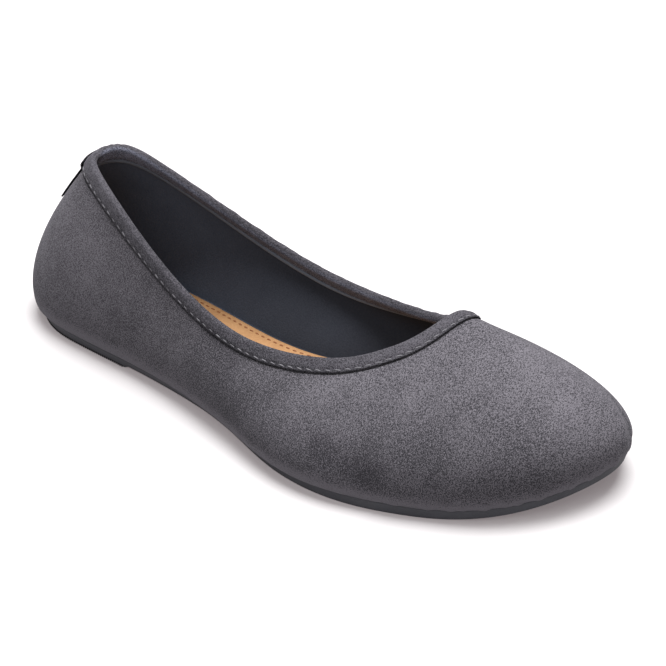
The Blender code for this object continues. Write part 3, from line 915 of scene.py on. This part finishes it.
@dataclass(frozen=True)
class Upper:
    """Lasted suede and its lining."""

    last: Last
    columns: int = 480
    suede: float = 0.0007
    margin: float = 0.009
    lip_radius: float = 0.0012
    margin_rows: int = 3
    lip_rows: int = 7
    wall_rows: int = 58
    seam_gap: float = 0.00045
    seam_dip: float = 0.00028
    seam_clear: float = 0.0008
    seam_rows: Tuple[float, ...] = (-0.0006, -0.0002, 0.0, 0.0002, 0.00045, 0.0008, 0.0013)
    hidden_rows: Tuple[float, ...] = (0.55, 0.3, 0.1)  # of the seam's length, under the binding
    # Painted shade in the groove under the binding: its strength, its place below the seam and its width
    # at the heel and at the toe, and the span where it changes.
    shade: float = 0.62
    shade_below: Span = (0.0008, 0.00018)  # at the heel and at the toe
    shade_width: Span = (0.0004, 0.0003)
    shade_span: Span = (0.40, 0.64)
    curl_drop: float = 0.0007  # of the lip over the outsole, at the toe
    # Painted highlight along the lip at the heel.
    heel_lip_highlight: float = 0.70
    pucker_pitch: float = 0.0036
    pucker_depth: float = 0.00010
    pucker_below: float = 0.0012  # of the binding's edge
    pucker_reach: float = 0.0016
    pleat_depth: float = 0.00021
    pleat_span: Span = (0.66, 0.92)
    back_pleats: float = 0.18
    pleat_reach: float = 0.0042
    toe_pleats: float = 58.0  # round the whole loop
    lip_highlight: float = 0.28  # painted highlight along the lip
    lip_highlight_reach: float = 0.0036
    curl_highlight: float = 0.50  # more of it at the toe's very edge
    curl_reach: float = 0.0012
    # Painted light on the lining: full at the heel, gone between these shares of the last's length.
    lining_light_fade: Span = (0.10, 0.46)
    crease_steps: int = 9

    @cached_property
    def loop(self) -> Array:
        """Places round the foot, the first repeated at the end."""
        return np.linspace(0.0, 1.0, self.columns + 1)

    @cached_property
    def forward(self) -> Array:
        """Each column's place from heel to toe, of the last's length."""
        return self.last.curve(self.loop, 0)[:, 0] / self.last.length

    @cached_property
    def front(self) -> Array:
        """Share of the toe's pleats at each column."""
        return ease(self.forward, *self.pleat_span)

    @cached_property
    def pleats(self) -> Array:
        """Uneven wave of the lasting pleats round the foot."""
        return waves(self.toe_pleats * self.loop, PLEAT_WAVES)

    @cached_property
    def columns_up(self) -> WallColumns:
        """The wall's columns, the first repeated at the end."""
        return WallColumns(self.last, self.loop)

    @cached_property
    def seam(self) -> Array:
        """Length below the topline where the binding ends, at each column."""
        return self.last.strip_width(self.loop)

    @cached_property
    def distances(self) -> Array:
        """Rows up the wall, as lengths below the topline, close together at the seam."""
        first = self.columns_up.height - self.lip_radius
        seam_rows = [self.seam + step for step in reversed(self.seam_rows)]
        rows = []
        for share in np.linspace(0.0, 1.0, self.wall_rows + 1):
            rows.append(mix(first, seam_rows[0] + self.seam_clear, share))
        rows.extend(seam_rows)
        rows.extend(self.seam * share for share in self.hidden_rows)
        return np.array(rows)

    @cached_property
    def face(self) -> Array:
        """Points of the outer face, as rows and columns."""
        return np.array([self.columns_up.point(row, 0.0) for row in self.distances])

    @cached_property
    def crease_marks(self) -> Tuple[Array, Array]:
        """Height of the creases, and their tone of painted light and shade, over the whole wall."""
        relief = np.zeros(self.face.shape[:2])
        tone = np.zeros(self.face.shape[:2])
        share = np.linspace(0.0, 1.0, self.crease_steps)
        for crease in CREASES:
            path = WallColumns(self.last, mix(crease.from_loop, crease.to_loop, share))
            climb = mix(crease.from_climb, crease.to_climb, share)
            line = path.point(path.height * (1.0 - climb), 0.0)
            nearest = np.full(relief.shape, np.inf)
            for start, end in zip(line, line[1:]):
                along = end - start
                part = np.clip((self.face - start) @ along / (along @ along), 0.0, 1.0)
                gap = self.face - start - part[:, :, None] * along
                nearest = np.minimum(nearest, np.linalg.norm(gap, axis=2))
            shape = hump(nearest, crease.width)
            relief += crease.height * shape
            tone += crease.tone * shape
        return relief, tone

    @cached_property
    def lip_highlights(self) -> Array:
        """Painted highlight along the lip, strongest at the toe's very edge."""
        up = self.columns_up.height - self.distances - self.lip_radius
        lay = mix(self.heel_lip_highlight, self.lip_highlight, self.front) * hump(up, self.lip_highlight_reach)
        return lay + self.curl_highlight * self.front * hump(up, self.curl_reach)

    @cached_property
    def relief(self) -> Array:
        """Height of creases, lip pleats, puckers and seam dip over the whole wall."""
        up = self.columns_up.height - self.distances - self.lip_radius
        fade = hump(up, self.pleat_reach)
        relief = self.pleat_depth * mix(self.back_pleats, 1.0, self.front) * self.pleats * fade
        below = self.distances - self.seam
        puckers = np.sin(2.0 * np.pi * self.loop * self.last.loop_length / self.pucker_pitch)
        near = hump(below - self.pucker_below, self.pucker_reach)
        relief = relief + self.pucker_depth * puckers * near
        relief = relief - self.seam_dip * hump(below, self.seam_gap)
        return relief + self.crease_marks[0]

    def rows_at(self, offset: float) -> List[Array]:
        """Rows of points up the wall, with its relief, that far over the outer face."""
        return [
            self.columns_up.point(distance, relief + offset)
            for distance, relief in zip(self.distances, self.relief)
        ]

    def build_suede(self) -> Shape:
        """Outer skin, from the margin under the foot round the lip to the topline."""
        last = self.last
        foot = last.foot(self.loop)
        curl = foot.copy()
        curl[:, 2] -= self.curl_drop * self.front * (1.0 + self.pleats / PLEAT_PEAK)
        rows = self.rows_at(0.0)
        lower = []
        for share in np.linspace(0.0, 1.0, self.margin_rows):
            plan = last.feather(self.loop, mix(self.margin, self.lip_radius, share))
            lower.append(np.column_stack([plan, last.bed_height(foot[:, 0])]))
        start = foot - last.level_out(self.loop) * self.lip_radius
        for share in np.linspace(0.0, 1.0, self.lip_rows + 1)[1:-1]:
            blend = (1.0 - share) ** 2 * start + 2.0 * share * (1.0 - share) * curl
            lower.append(blend + share**2 * rows[0])
        points = np.array(lower + rows) + last.place
        # Painted shade in the groove just below the binding's edge.
        seam_shade = np.zeros(points.shape[:2])
        forward = ease(self.forward, *self.shade_span)
        below = self.distances - self.seam - mix(*self.shade_below, forward)
        seam_shade[len(lower) :] = self.shade * hump(below, mix(*self.shade_width, forward))
        # Painted light and shade of the creases, and the painted highlight along the lip, also on the
        # margin under it.
        lay = np.zeros(points.shape[:2])
        lay[len(lower) :] = self.crease_marks[1] + self.lip_highlights
        lay[self.margin_rows : len(lower)] = self.lip_highlights[0]
        marks = {"seam_shade": seam_shade, "lay": lay}
        shape = sheet("upper_suede", points, (last.loop_length, last.heel_height), marks)
        thicken(shape, self.suede)
        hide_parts("upper")
        return shape

    def build_lining(self) -> Shape:
        """Inner skin, from beside the insole to under the binding."""
        rows = self.rows_at(-self.suede)
        plan = self.last.feather(self.loop, self.last.upper_wall)
        bed = self.last.bed_height(self.last.foot(self.loop)[:, 0])
        floor = np.column_stack([plan, bed + self.last.upper_wall])
        points = np.array([floor] + rows) + self.last.place
        forward = points[:, :, 0] - self.last.place[0]
        # Painted light on the lining's shaded heel part.
        lift = 1.0 - ease(forward / self.last.length, *self.lining_light_fade)
        size = (self.last.loop_length, self.last.heel_height)
        shape = sheet("upper_lining", points, size, {"lift": lift})
        thicken(shape, self.last.upper_wall - self.suede)
        return shape


@dataclass(frozen=True)
class Binding:
    """Strip folded over the topline, with its row of stitches and the stay tape inside."""

    last: Last
    columns: int = 480
    inside: float = 0.0060
    edge: float = 0.0006
    side_rows: int = 14
    fold_rows: int = 9
    stitch_line: float = 0.00075  # over the strip's lower edge
    stitch_dip: float = 0.00022
    dip_width: float = 0.0005
    stitch_pitch: float = 0.0035
    stitch_length: float = 0.0026
    stitch_radius: float = 0.00024
    stitch_lift: float = 0.6  # of its radius
    stitch_slant: float = -7.0  # degrees
    swell: float = 0.00022
    ripple: float = 0.00012
    join_loops: Tuple[float, ...] = (0.9600, 0.9685, 0.9765)  # tucks where its ends meet
    join_width: float = 0.0012
    join_depth: float = 0.00024
    painted_light_rows: Span = (0.5, 0.8)  # of the fold, where the painted light on the inner face begins
    painted_light_start: Span = (0.50, 0.58)  # round the inner side of the foot
    painted_light_end: Span = (0.985, 1.0)
    side_shade: float = -0.11  # painted shade of the outer face at the side, and painted highlight at the heel and the throat
    heel_highlight: float = 0.08
    throat_highlight: float = 0.16
    heel_span: Span = (0.14, 0.34)
    throat_span: Span = (0.60, 0.74)
    pit_radius: float = 0.00026
    pit_stretch: Triple = (2.2, 1.0, 0.5)
    row_crowding: float = 1.6  # above 1 the rows lie closer at the strip's edges
    tape_top: float = 0.0065
    tape_width: float = 0.0021
    tape_height: float = 0.00075
    tape_wall: float = 0.0003
    tape_sink: float = 0.0001
    tape_rows: int = 9
    tape_flatness: float = 0.6  # power of its arc: below 1 its top is flat

    @cached_property
    def loop(self) -> Array:
        """Places round the foot, the first repeated at the end."""
        return np.linspace(0.0, 1.0, self.columns + 1)

    def tucks(self, loop: Array) -> Array:
        """Depth of the small tucks where the strip's ends meet."""
        gaps = [(loop - place) * self.last.loop_length for place in self.join_loops]
        return self.join_depth * sum(hump(gap, self.join_width) for gap in gaps)

    def offset(self, distance: Numbers, width: Numbers, loop: Array) -> Array:
        """Height of the strip's face over the wall.

        Args:
            distance: length from the topline.
            width: length from the topline to the strip's edge.
            loop: places round the foot.

        Returns:
            Height over the wall's own face.
        """
        inward = np.clip((width - distance) / self.edge, 0.0, 1.0)
        rounded = np.sqrt(1.0 - (1.0 - inward) ** 2)
        dip = self.stitch_dip * hump(distance - width + self.stitch_line, self.dip_width)
        middle = np.sin(np.pi * np.clip(distance / width, 0.0, 1.0)) * ease(inward, 0.0, 1.0)
        rippled = (self.swell + self.ripple * waves(loop, RIPPLE_WAVES)) * middle
        tucked = self.tucks(loop) * ease(inward, 0.0, 1.0)
        body = self.last.binding_thickness * rounded + rippled - tucked
        return self.last.piece_gap + body - dip * rounded

    def section(self) -> List[Array]:
        """Rows of the strip's closed section round the whole topline."""
        loop = self.loop
        columns = WallColumns(self.last, loop)
        edge = np.ones(len(loop))
        top = self.last.wall(loop, edge)
        out = self.last.normal(loop, edge)
        up = unit(top - columns.point(self.last.upper_wall, 0.0))
        centre = top - out * self.last.upper_wall / 2.0
        rows = []
        width = self.last.strip_width(loop)
        steps = np.linspace(0.0, 1.0, self.side_rows + 1) ** self.row_crowding
        for step in steps[:-1]:
            distance = width * (1.0 - step)
            rows.append(columns.point(distance, self.offset(distance, width, loop)))
        fold_under = self.last.upper_wall / 2.0 + self.last.piece_gap
        fold_over = fold_under + self.last.binding_thickness - self.tucks(loop)[:, None]
        for turn in np.linspace(0.0, np.pi, self.fold_rows):
            rows.append(centre + fold_over * (np.cos(turn) * out + np.sin(turn) * up))
        for step in steps[::-1][1:]:
            distance = self.inside * (1.0 - step)
            depth = self.last.upper_wall + self.offset(distance, self.inside, loop)
            rows.append(columns.point(distance, -depth))
        under = -(self.last.upper_wall + self.last.piece_gap)
        rows.extend(columns.point(deep, under) for deep in (self.inside, self.inside / 2.0))
        for turn in np.linspace(np.pi, 0.0, self.fold_rows // 2 + 1):
            rows.append(centre + fold_under * (np.cos(turn) * out + np.sin(turn) * up))
        rows.append(columns.point(width / 2.0, self.last.piece_gap))
        rows.append(rows[0])
        return rows

    def build_strip(self) -> Shape:
        """The folded strip."""
        points = np.array(self.section()) + self.last.place
        size = (self.last.loop_length, 2.0 * self.inside)
        # Painted light on the fold's inner half and the inner face, round the inner side of the foot.
        turned = (np.arange(len(points)) - self.side_rows) / (self.fold_rows - 1)
        round_foot = ease(self.loop, *self.painted_light_start) * (1.0 - ease(self.loop, *self.painted_light_end))
        lift = ease(turned, *self.painted_light_rows)[:, None] * round_foot
        # Painted shade on the strip's side and painted highlight at the heel and the throat.
        forward = (points[:, :, 0] - self.last.place[0]) / self.last.length
        lay = mix(self.heel_highlight, self.side_shade, ease(forward, *self.heel_span))
        lay = mix(lay, self.throat_highlight, ease(forward, *self.throat_span))
        shape = sheet("topline_strip", points, size, {"lift": lift, "lay": lay})
        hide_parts("topline_binding")
        return shape

    def row_frames(self, inset: float, offset: float, phase: float) -> List[Matrix]:
        """Places for small pieces at the stitches' pitch along the strip.

        Args:
            inset: length over the strip's lower edge.
            offset: height over the outer face.
            phase: place of the first piece, of the pitch.

        Returns:
            A matrix for each piece: X along the row, Y up the wall and Z outwards.
        """
        fine = np.linspace(0.0, 1.0, FINE_SAMPLES)
        line = WallColumns(self.last, fine).point(self.last.strip_width(fine) - inset, offset)
        loop = at_pitch(fine, line, self.stitch_pitch, phase)
        return wall_frames(WallColumns(self.last, loop), self.last.strip_width(loop) - inset, offset)

    def build_stitches(self) -> Shape:
        """Row of top stitches just over the strip's lower edge."""
        rise = self.stitch_lift * self.stitch_radius
        offset = self.last.piece_gap + self.last.binding_thickness - self.stitch_dip + rise
        template = stitch(ball(10, 8), self.stitch_length, self.stitch_radius)
        slant = Matrix.Rotation(math.radians(self.stitch_slant), 4, "Z")
        frames = self.row_frames(self.stitch_line, offset, 0.5)
        return strewn("topline_stitches", template, [frame @ slant for frame in frames])

    def build_hole_shade(self) -> Shape:
        """Dark specks between the top stitches: painted shade of the needle holes."""
        offset = self.last.piece_gap + self.last.binding_thickness - self.stitch_dip
        template = ball(8, 6, self.pit_radius)
        template.scale = self.pit_stretch
        apply_scale(template)
        return strewn("topline_needle_hole_shade", template, self.row_frames(self.stitch_line, offset, 0.0))

    def build_tape(self) -> Shape:
        """Narrow stay tape under the strip's inner edge."""
        columns = WallColumns(self.last, self.loop)
        rows = []
        for turn in np.linspace(0.0, np.pi, self.tape_rows):
            distance = self.tape_top + self.tape_width * (1.0 - math.cos(turn)) / 2.0
            rise = self.tape_height * math.sin(turn) ** self.tape_flatness
            rows.append(columns.point(distance, -(self.last.upper_wall + rise - self.tape_sink)))
        points = np.array(rows) + self.last.place
        shape = sheet("stay_tape", points, (self.last.loop_length, self.tape_width))
        thicken(shape, self.tape_wall)
        return shape


def wall_frames(columns: WallColumns, distance: Numbers, offset: float) -> List[Matrix]:
    """Matrices on the wall, one for each column: X along, Y up the wall, Z outwards."""
    share = columns.share_below(distance)
    last = columns.last
    points = columns.point(distance, offset) + last.place
    normals = last.normal(columns.loop, share)
    ahead = last.wall(columns.loop + CURVE_STEP, share) - last.wall(columns.loop - CURVE_STEP, share)
    frames = []
    for point, normal, along in zip(points, normals, ahead):
        z = Vector(normal)
        x = Vector(along).normalized()
        y = z.cross(x).normalized()
        frame = Matrix((x, y, z)).transposed().to_4x4()
        frame.translation = Vector(point)
        frames.append(frame)
    return frames


def level_frames(last: Last, plan: Array, heights: Numbers, ways: Array) -> List[Matrix]:
    """Upright matrices, each turned to its own way in plan.

    Args:
        last: the foot form.
        plan: plan points, on the last's own axes.
        heights: height over the floor, one for each point or one for all.
        ways: plan direction of X at each point.

    Returns:
        A matrix for each point.
    """
    frames = []
    for point, height, way in zip(plan, np.broadcast_to(heights, len(plan)), ways):
        place = Matrix.Translation(Vector((*point, height)) + Vector(last.place))
        frames.append(place @ Matrix.Rotation(math.atan2(way[1], way[0]), 4, "Z"))
    return frames


@dataclass(frozen=True)
class SolePlan:
    """Shared plan of sole and insole: lines across the foot from heel to toe."""

    last: Last
    rungs: int = 150
    across: int = 26

    @cached_property
    def lengths(self) -> Array:
        """Places of the lines along the foot, closer together at the ends."""
        ends = self.last.curve(np.array([self.last.heel_u, self.last.toe_u]), 0)[:, 0]
        turns = np.linspace(0.0, np.pi, self.rungs + 1)
        return mix(ends[0], ends[1], 0.5 * (1.0 - np.cos(turns)))

    @cached_property
    def outer_loop(self) -> Array:
        """Outer ends of the lines, as places on the loop."""
        return self.last.loop_at(self.lengths, False)

    @cached_property
    def inner_loop(self) -> Array:
        """Inner ends of the lines, as places on the loop, which meet the outer ones at both ends."""
        inner = self.last.loop_at(self.lengths, True)
        inner[0] = self.outer_loop[0]
        inner[-1] = self.outer_loop[-1]
        return inner

    def grid(self, inset: Numbers, height: Callable[[Array], Array]) -> Array:
        """Points across the foot inside the feather line.

        Args:
            inset: how far inside the feather line the edge runs, one value or one a line.
            height: height over the floor at each place along the foot.

        Returns:
            Points as rows along the foot and columns from the inner side to the outer.
        """
        outer = self.last.feather(self.outer_loop, inset)
        inner = self.last.feather(self.inner_loop, inset)
        share = 0.5 * (1.0 - np.cos(np.linspace(0.0, np.pi, self.across + 1)))
        plan = mix(inner[:, None, :], outer[:, None, :], share[None, :, None])
        heights = np.broadcast_to(height(self.lengths)[:, None], plan.shape[:2])
        return np.concatenate([plan, heights[:, :, None]], axis=2)

    def closed_section(self, layers: Sequence[Array]) -> Array:
        """Points round a slab: under it, up its outer edge, over it and down its inner edge.

        Args:
            layers: grids from the lowest to the highest. The ones between give their edges.

        Returns:
            Points as rows along the foot and columns round the slab, closed.
        """
        outer = [layer[:, -1:] for layer in layers[1:-1]]
        inner = [layer[:, :1] for layer in layers[1:-1]]
        top = layers[-1][:, ::-1]
        return np.concatenate([layers[0], *outer, top, *inner[::-1], layers[0][:, :1]], axis=1)


@dataclass(frozen=True)
class Insole:
    """Tan sock with a stitched edge, on the board."""

    last: Last
    plan: SolePlan
    thickness: float = 0.0016
    edge_round: float = 0.0006
    groove: float = 0.00035
    groove_width: float = 0.0008
    stitch_inset: float = 0.0044
    stitch_pitch: float = 0.0030
    stitch_length: float = 0.0024
    stitch_radius: float = 0.00036
    stitch_sink: float = 0.0003

    def seat(self, x: Array) -> Array:
        """Height of the underside of the sock."""
        return self.last.bed_height(x) + self.last.upper_wall + self.last.piece_gap

    def depth_inside(self, points: Array) -> Array:
        """Plan distance of each point from the sock's edge."""
        border = np.concatenate([points[:, 0], points[:, -1]])[:, :2]
        gaps = [np.linalg.norm(row[:, None, :2] - border[None], axis=2).min(axis=1) for row in points]
        return np.array(gaps)

    def build_sock(self) -> Shape:
        """The sock, with a soft rounded edge and a groove under its stitches."""
        edge = self.last.upper_wall + 2.0 * self.last.piece_gap
        under = self.plan.grid(edge + self.edge_round, self.seat)
        middle = self.plan.grid(edge, lambda x: self.seat(x) + 0.5 * self.thickness)
        top = self.plan.grid(edge, lambda x: self.seat(x) + self.thickness)
        inside = self.depth_inside(top)
        rounding = self.edge_round * (1.0 - ease(inside, 0.0, 2.0 * self.edge_round))
        groove = self.groove * hump(inside - self.stitch_inset + edge, self.groove_width)
        top[:, :, 2] -= rounding + groove
        points = self.plan.closed_section([under, middle, top]) + self.last.place
        shape = sheet("insole_sock", points, (2.0 * self.last.ball_width, self.last.length))
        outward_faces(shape)
        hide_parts("insole")
        return shape

    def build_stitches(self) -> Shape:
        """Row of dark stitches round the sock."""
        fine = np.linspace(0.0, 1.0, FINE_SAMPLES)
        loop = at_pitch(fine, self.last.feather(fine, self.stitch_inset), self.stitch_pitch, 0.5)
        centres = self.last.feather(loop, self.stitch_inset)
        ahead = self.last.feather(loop + CURVE_STEP, self.stitch_inset) - centres
        template = stitch(ball(8, 6), self.stitch_length, self.stitch_radius)
        heights = self.seat(centres[:, 0]) + self.thickness - self.stitch_sink
        frames = level_frames(self.last, centres, heights, ahead)
        return strewn("insole_stitches", template, frames)


@dataclass(frozen=True)
class Outsole:
    """Thin rubber sole with its heel pad and the fine ribs of the pad's edge."""

    last: Last
    plan: SolePlan
    toe_thinning: float = 0.0006
    waist_lift: float = 0.0010
    pad_step_run: float = 0.0012
    pad_length: float = 0.059
    setback: float = 0.0007
    waist_trim: float = 0.0014
    heel_tuck: float = 0.0015
    heel_tuck_end: float = 0.12
    back_undercut: float = 0.0011
    front_undercut: float = 0.0003
    edge_round: float = 0.0006
    glue: float = 0.0001
    trim_rise: Span = (0.30, 0.50)
    trim_fall: Span = (0.60, 0.76)
    rib_pitch: float = 0.00100
    rib_height: float = 0.0011
    rib_depth: float = 0.00035
    rib_share: float = 0.55  # of the pitch
    rib_bevel: float = 0.12  # of the pitch
    rib_clear: float = 0.0001  # over the floor, and into the sole
    rib_samples: int = 4001
    rim_steps: int = 6
    side_steps: Tuple[float, ...] = (0.35, 0.7, 1.0)

    def tread_height(self, x: Numbers) -> Array:
        """Height of the underside: heel pad, lifted waist, flat forefoot, toe spring."""
        x = np.asarray(x, float)
        last = self.last
        step = np.clip((x - self.pad_length) / self.pad_step_run, 0.0, 1.0)
        waist = 1.0 - ease(x / last.length, last.waist_start, last.waist_end)
        rise = (last.toe_spring + self.toe_thinning) * last.spring(x)
        return self.waist_lift * step * waist + rise

    def edge(self, x: Array) -> Array:
        """Inset of the upper edge of the sole."""
        share = x / self.last.length
        trim = ease(share, *self.trim_rise) * (1.0 - ease(share, *self.trim_fall))
        tuck = 1.0 - ease(share, 0.0, self.heel_tuck_end)
        return self.setback + self.waist_trim * trim + self.heel_tuck * tuck

    def side(self, x: Array) -> Array:
        """Inset of the lower edge of the sole."""
        share = ease(x / self.last.length, self.last.waist_start, self.last.waist_end)
        return self.edge(x) + mix(self.back_undercut, self.front_undercut, share)

    def ring_profile(self) -> List[Tuple[Callable, Callable]]:
        """Rings up the side of the sole, as pairs of inset and height functions."""
        rings = []
        for turn in np.linspace(0.0, np.pi / 2.0, self.rim_steps):
            inward = self.edge_round * (1.0 - math.sin(turn))
            upward = self.edge_round * (1.0 - math.cos(turn))
            rings.append(
                (
                    lambda x, value=inward: self.side(x) + value,
                    lambda x, value=upward: self.tread_height(x) + value,
                )
            )
        for share in self.side_steps:
            rings.append(
                (
                    lambda x, value=share: mix(self.side(x), self.edge(x), value),
                    lambda x, value=share: mix(
                        self.tread_height(x) + self.edge_round, self.last.bed_height(x) - self.glue, value
                    ),
                )
            )
        return rings

    def build_sole(self) -> Shape:
        """The moulded sole, closed round its edge."""
        x = self.plan.lengths
        layers = [self.plan.grid(inset(x), height) for inset, height in self.ring_profile()]
        points = self.plan.closed_section(layers) + self.last.place
        shape = sheet("outsole_rubber", points, (2.0 * self.last.ball_width, self.last.length))
        outward_faces(shape)
        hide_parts("outsole")
        return shape

    def build_ribs(self) -> Shape:
        """Fine ribs round the lower edge of the heel pad."""
        last = self.last
        fine = np.linspace(-0.5, 0.5, self.rib_samples)
        fine = fine[last.curve(fine, 0)[:, 0] < self.pad_length - self.rib_pitch]
        run = lengths_along(last.feather(fine, self.side(last.curve(fine, 0)[:, 0])))
        loop = np.interp(np.arange(self.rib_pitch, run[-1], self.rib_pitch), run, fine)
        centres = last.feather(loop, self.side(last.curve(loop, 0)[:, 0]) + self.rib_clear)
        clear_selection()
        bpy.ops.mesh.primitive_cube_add(size=1.0)
        template = bpy.context.object
        self.shape_rib(template)
        height = self.rib_height / 2.0 + self.rib_clear
        frames = level_frames(last, centres, height, last.outward(loop))
        return strewn("heel_pad_ribs", template, frames)

    def shape_rib(self, template: Shape) -> None:
        """Shape one rib with softened edges."""
        width = self.rib_share * self.rib_pitch
        template.dimensions = (2.0 * self.rib_depth, width, self.rib_height)
        apply_scale(template)
        with editing(template):
            bpy.ops.mesh.bevel(offset=self.rib_bevel * self.rib_pitch, segments=1)


@dataclass(frozen=True)
class HeelTab:
    """Thin black strip over the binding and down the back seam."""

    last: Last
    width: float = 0.0078
    length: float = 0.025
    thickness: float = 0.0005
    top_gap: float = 0.0028
    step_up: float = 0.00025  # over the binding, more than its thickness
    step_run: float = 0.0022
    end_round: float = 0.002
    top_round: float = 0.001
    top_corner: float = 0.85  # share of its full corner that the upper end keeps
    end_width: float = 0.86  # of its width, at its lower end
    rows: int = 40
    columns: int = 12

    def build(self) -> Shape:
        """The strip, pillowed a little over the binding's edge."""
        over = 2.0 * self.last.piece_gap + self.last.binding_thickness + self.step_up
        heel = self.last.heel_u
        middle = WallColumns(self.last, np.array([heel]))
        rows = []
        for share in np.linspace(0.0, 1.0, self.rows + 1):
            distance = mix(self.length, self.top_gap, share)
            t = float(middle.share_below(distance)[0])
            near = self.last.wall(np.array([heel - CURVE_STEP, heel + CURVE_STEP]), np.array([t, t]))
            speed = np.linalg.norm(near[1] - near[0]) / (2.0 * CURVE_STEP)
            top_corner = (distance - self.top_gap) / self.top_round + self.top_corner
            corner = min(1.0, (self.length - distance) / self.end_round, top_corner)
            reach = self.width * mix(self.end_width, 1.0, math.sqrt(max(corner, 0.0)))
            loop = heel + np.linspace(-0.5, 0.5, self.columns + 1) * reach / speed
            step_end = self.last.binding_width + self.step_run
            step = 1.0 - float(ease(distance, self.last.binding_width, step_end))
            offset = mix(self.last.piece_gap, over, step) + self.thickness
            rows.append(WallColumns(self.last, loop).point(distance, offset))
        points = np.array(rows) + self.last.place
        shape = sheet("heel_tab_strip", points, (self.width, self.length))
        thicken(shape, self.thickness)
        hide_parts("heel_tab")
        return shape


@dataclass(frozen=True)
class Studio:
    """Pale floor, soft lights and the camera."""

    floor_size: float = 6.0
    azimuth: float = 36.0
    elevation: float = 31.0
    roll: float = -0.2
    focal_share: float = 3.7703  # focal length over the picture's width
    sensor: float = 36.0
    distance: float = 0.8689
    aim: Triple = (0.00367, 0.00572, 0.0250)
    slide: Span = (-0.0067, -0.0001)
    sky: float = 0.40
    floor_tint: Colour = (0.285, 0.281, 0.283)
    floor_glow: Colour = (0.185, 0.160, 0.165)

    def build_floor(self) -> None:
        """White floor under the shoe, that glows as a lit table does."""
        clear_selection()
        bpy.ops.mesh.primitive_plane_add(size=self.floor_size)
        floor = bpy.context.object
        floor.name = "floor"
        paint = bpy.data.materials.new("floor_white")
        paint.use_nodes = True
        shader = paint.node_tree.nodes["Principled BSDF"]
        constants = {
            "Base Color": (*self.floor_tint, 1.0),
            "Emission Color": (*self.floor_glow, 1.0),
            "Emission Strength": 1.0,
            "Roughness": 0.9,
            "Specular IOR Level": 0.1,
        }
        set_inputs(shader, constants)
        floor.data.materials.append(paint)

    def build_lights(self) -> None:
        """White surround and two soft boxes, one overhead and a little behind, one in front."""
        world = bpy.data.worlds.new("studio")
        world.use_nodes = True
        background = world.node_tree.nodes["Background"]
        set_inputs(background, {"Color": (1.0, 1.0, 1.0, 1.0), "Strength": self.sky})
        bpy.context.scene.world = world
        for name, place, size, power in (
            ("soft_top", (-0.05, 0.26, 1.45), 1.1, 92.0),
            ("soft_front", (0.30, -0.95, 0.95), 1.0, 9.0),
        ):
            clear_selection()
            bpy.ops.object.light_add(type="AREA", location=place)
            lamp = bpy.context.object
            lamp.name = name
            lamp.data.size = size
            lamp.data.energy = power
            lamp.rotation_euler = Vector(place).to_track_quat("Z", "Y").to_euler()

    def build_camera(self) -> None:
        """Camera at the photograph's angle."""
        turn, tilt, roll = (math.radians(v) for v in (self.azimuth, self.elevation, self.roll))
        back = Vector(
            (math.sin(turn) * math.cos(tilt), -math.cos(turn) * math.cos(tilt), math.sin(tilt))
        )
        level = Vector((math.cos(turn), math.sin(turn), 0.0))
        rise = back.cross(level)
        right = level * math.cos(roll) + rise * math.sin(roll)
        up = rise * math.cos(roll) - level * math.sin(roll)
        data = bpy.data.cameras.new("camera")
        data.sensor_width = self.sensor
        data.lens = self.focal_share * self.sensor
        data.clip_start = 0.01
        camera = bpy.data.objects.new("camera", data)
        bpy.context.scene.collection.objects.link(camera)
        frame = Matrix((right, up, back)).transposed().to_4x4()
        place = Vector(self.aim) + back * self.distance
        frame.translation = place - right * self.slide[0] - up * self.slide[1]
        camera.matrix_world = frame
        bpy.context.scene.camera = camera


def main() -> None:
    """Dress the shoe and set up the studio."""
    logging.basicConfig(level=logging.INFO, format="%(message)s")
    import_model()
    nap = nap_group()
    finishes: Dict[str, bpy.types.Material] = {f.name: f.make(nap) for f in FINISHES}
    last = Last()
    plan = SolePlan(last)
    upper = Upper(last)
    binding = Binding(last)
    insole = Insole(last, plan)
    outsole = Outsole(last, plan)
    for build, finish, slot in (
        (upper.build_suede, "grey_suede", "grey_suede"),
        (upper.build_lining, "lining_cloth", "lining"),
        (binding.build_strip, "binding_suede", "binding_suede"),
        (binding.build_stitches, "grey_thread", "thread"),
        # Near-black specks: painted shade of the needle holes.
        (binding.build_hole_shade, "tab_black", "thread"),
        (binding.build_tape, "stay_cloth", "lining"),
        (insole.build_sock, "insole_tan", "insole_tan"),
        (insole.build_stitches, "brown_thread", "thread"),
        (outsole.build_sole, "outsole_rubber", "outsole_rubber"),
        # The ribs are outsole rubber in the near-black tab finish: painted shade under the heel pad's
        # edge.
        (outsole.build_ribs, "tab_black", "outsole_rubber"),
        (HeelTab(last).build, "tab_black", "tab_black"),
    ):
        dress(build(), finishes[finish])
    studio = Studio()
    studio.build_floor()
    studio.build_lights()
    studio.build_camera()
    bpy.context.scene.view_settings.view_transform = "Standard"


if __name__ == "__main__":
    main()
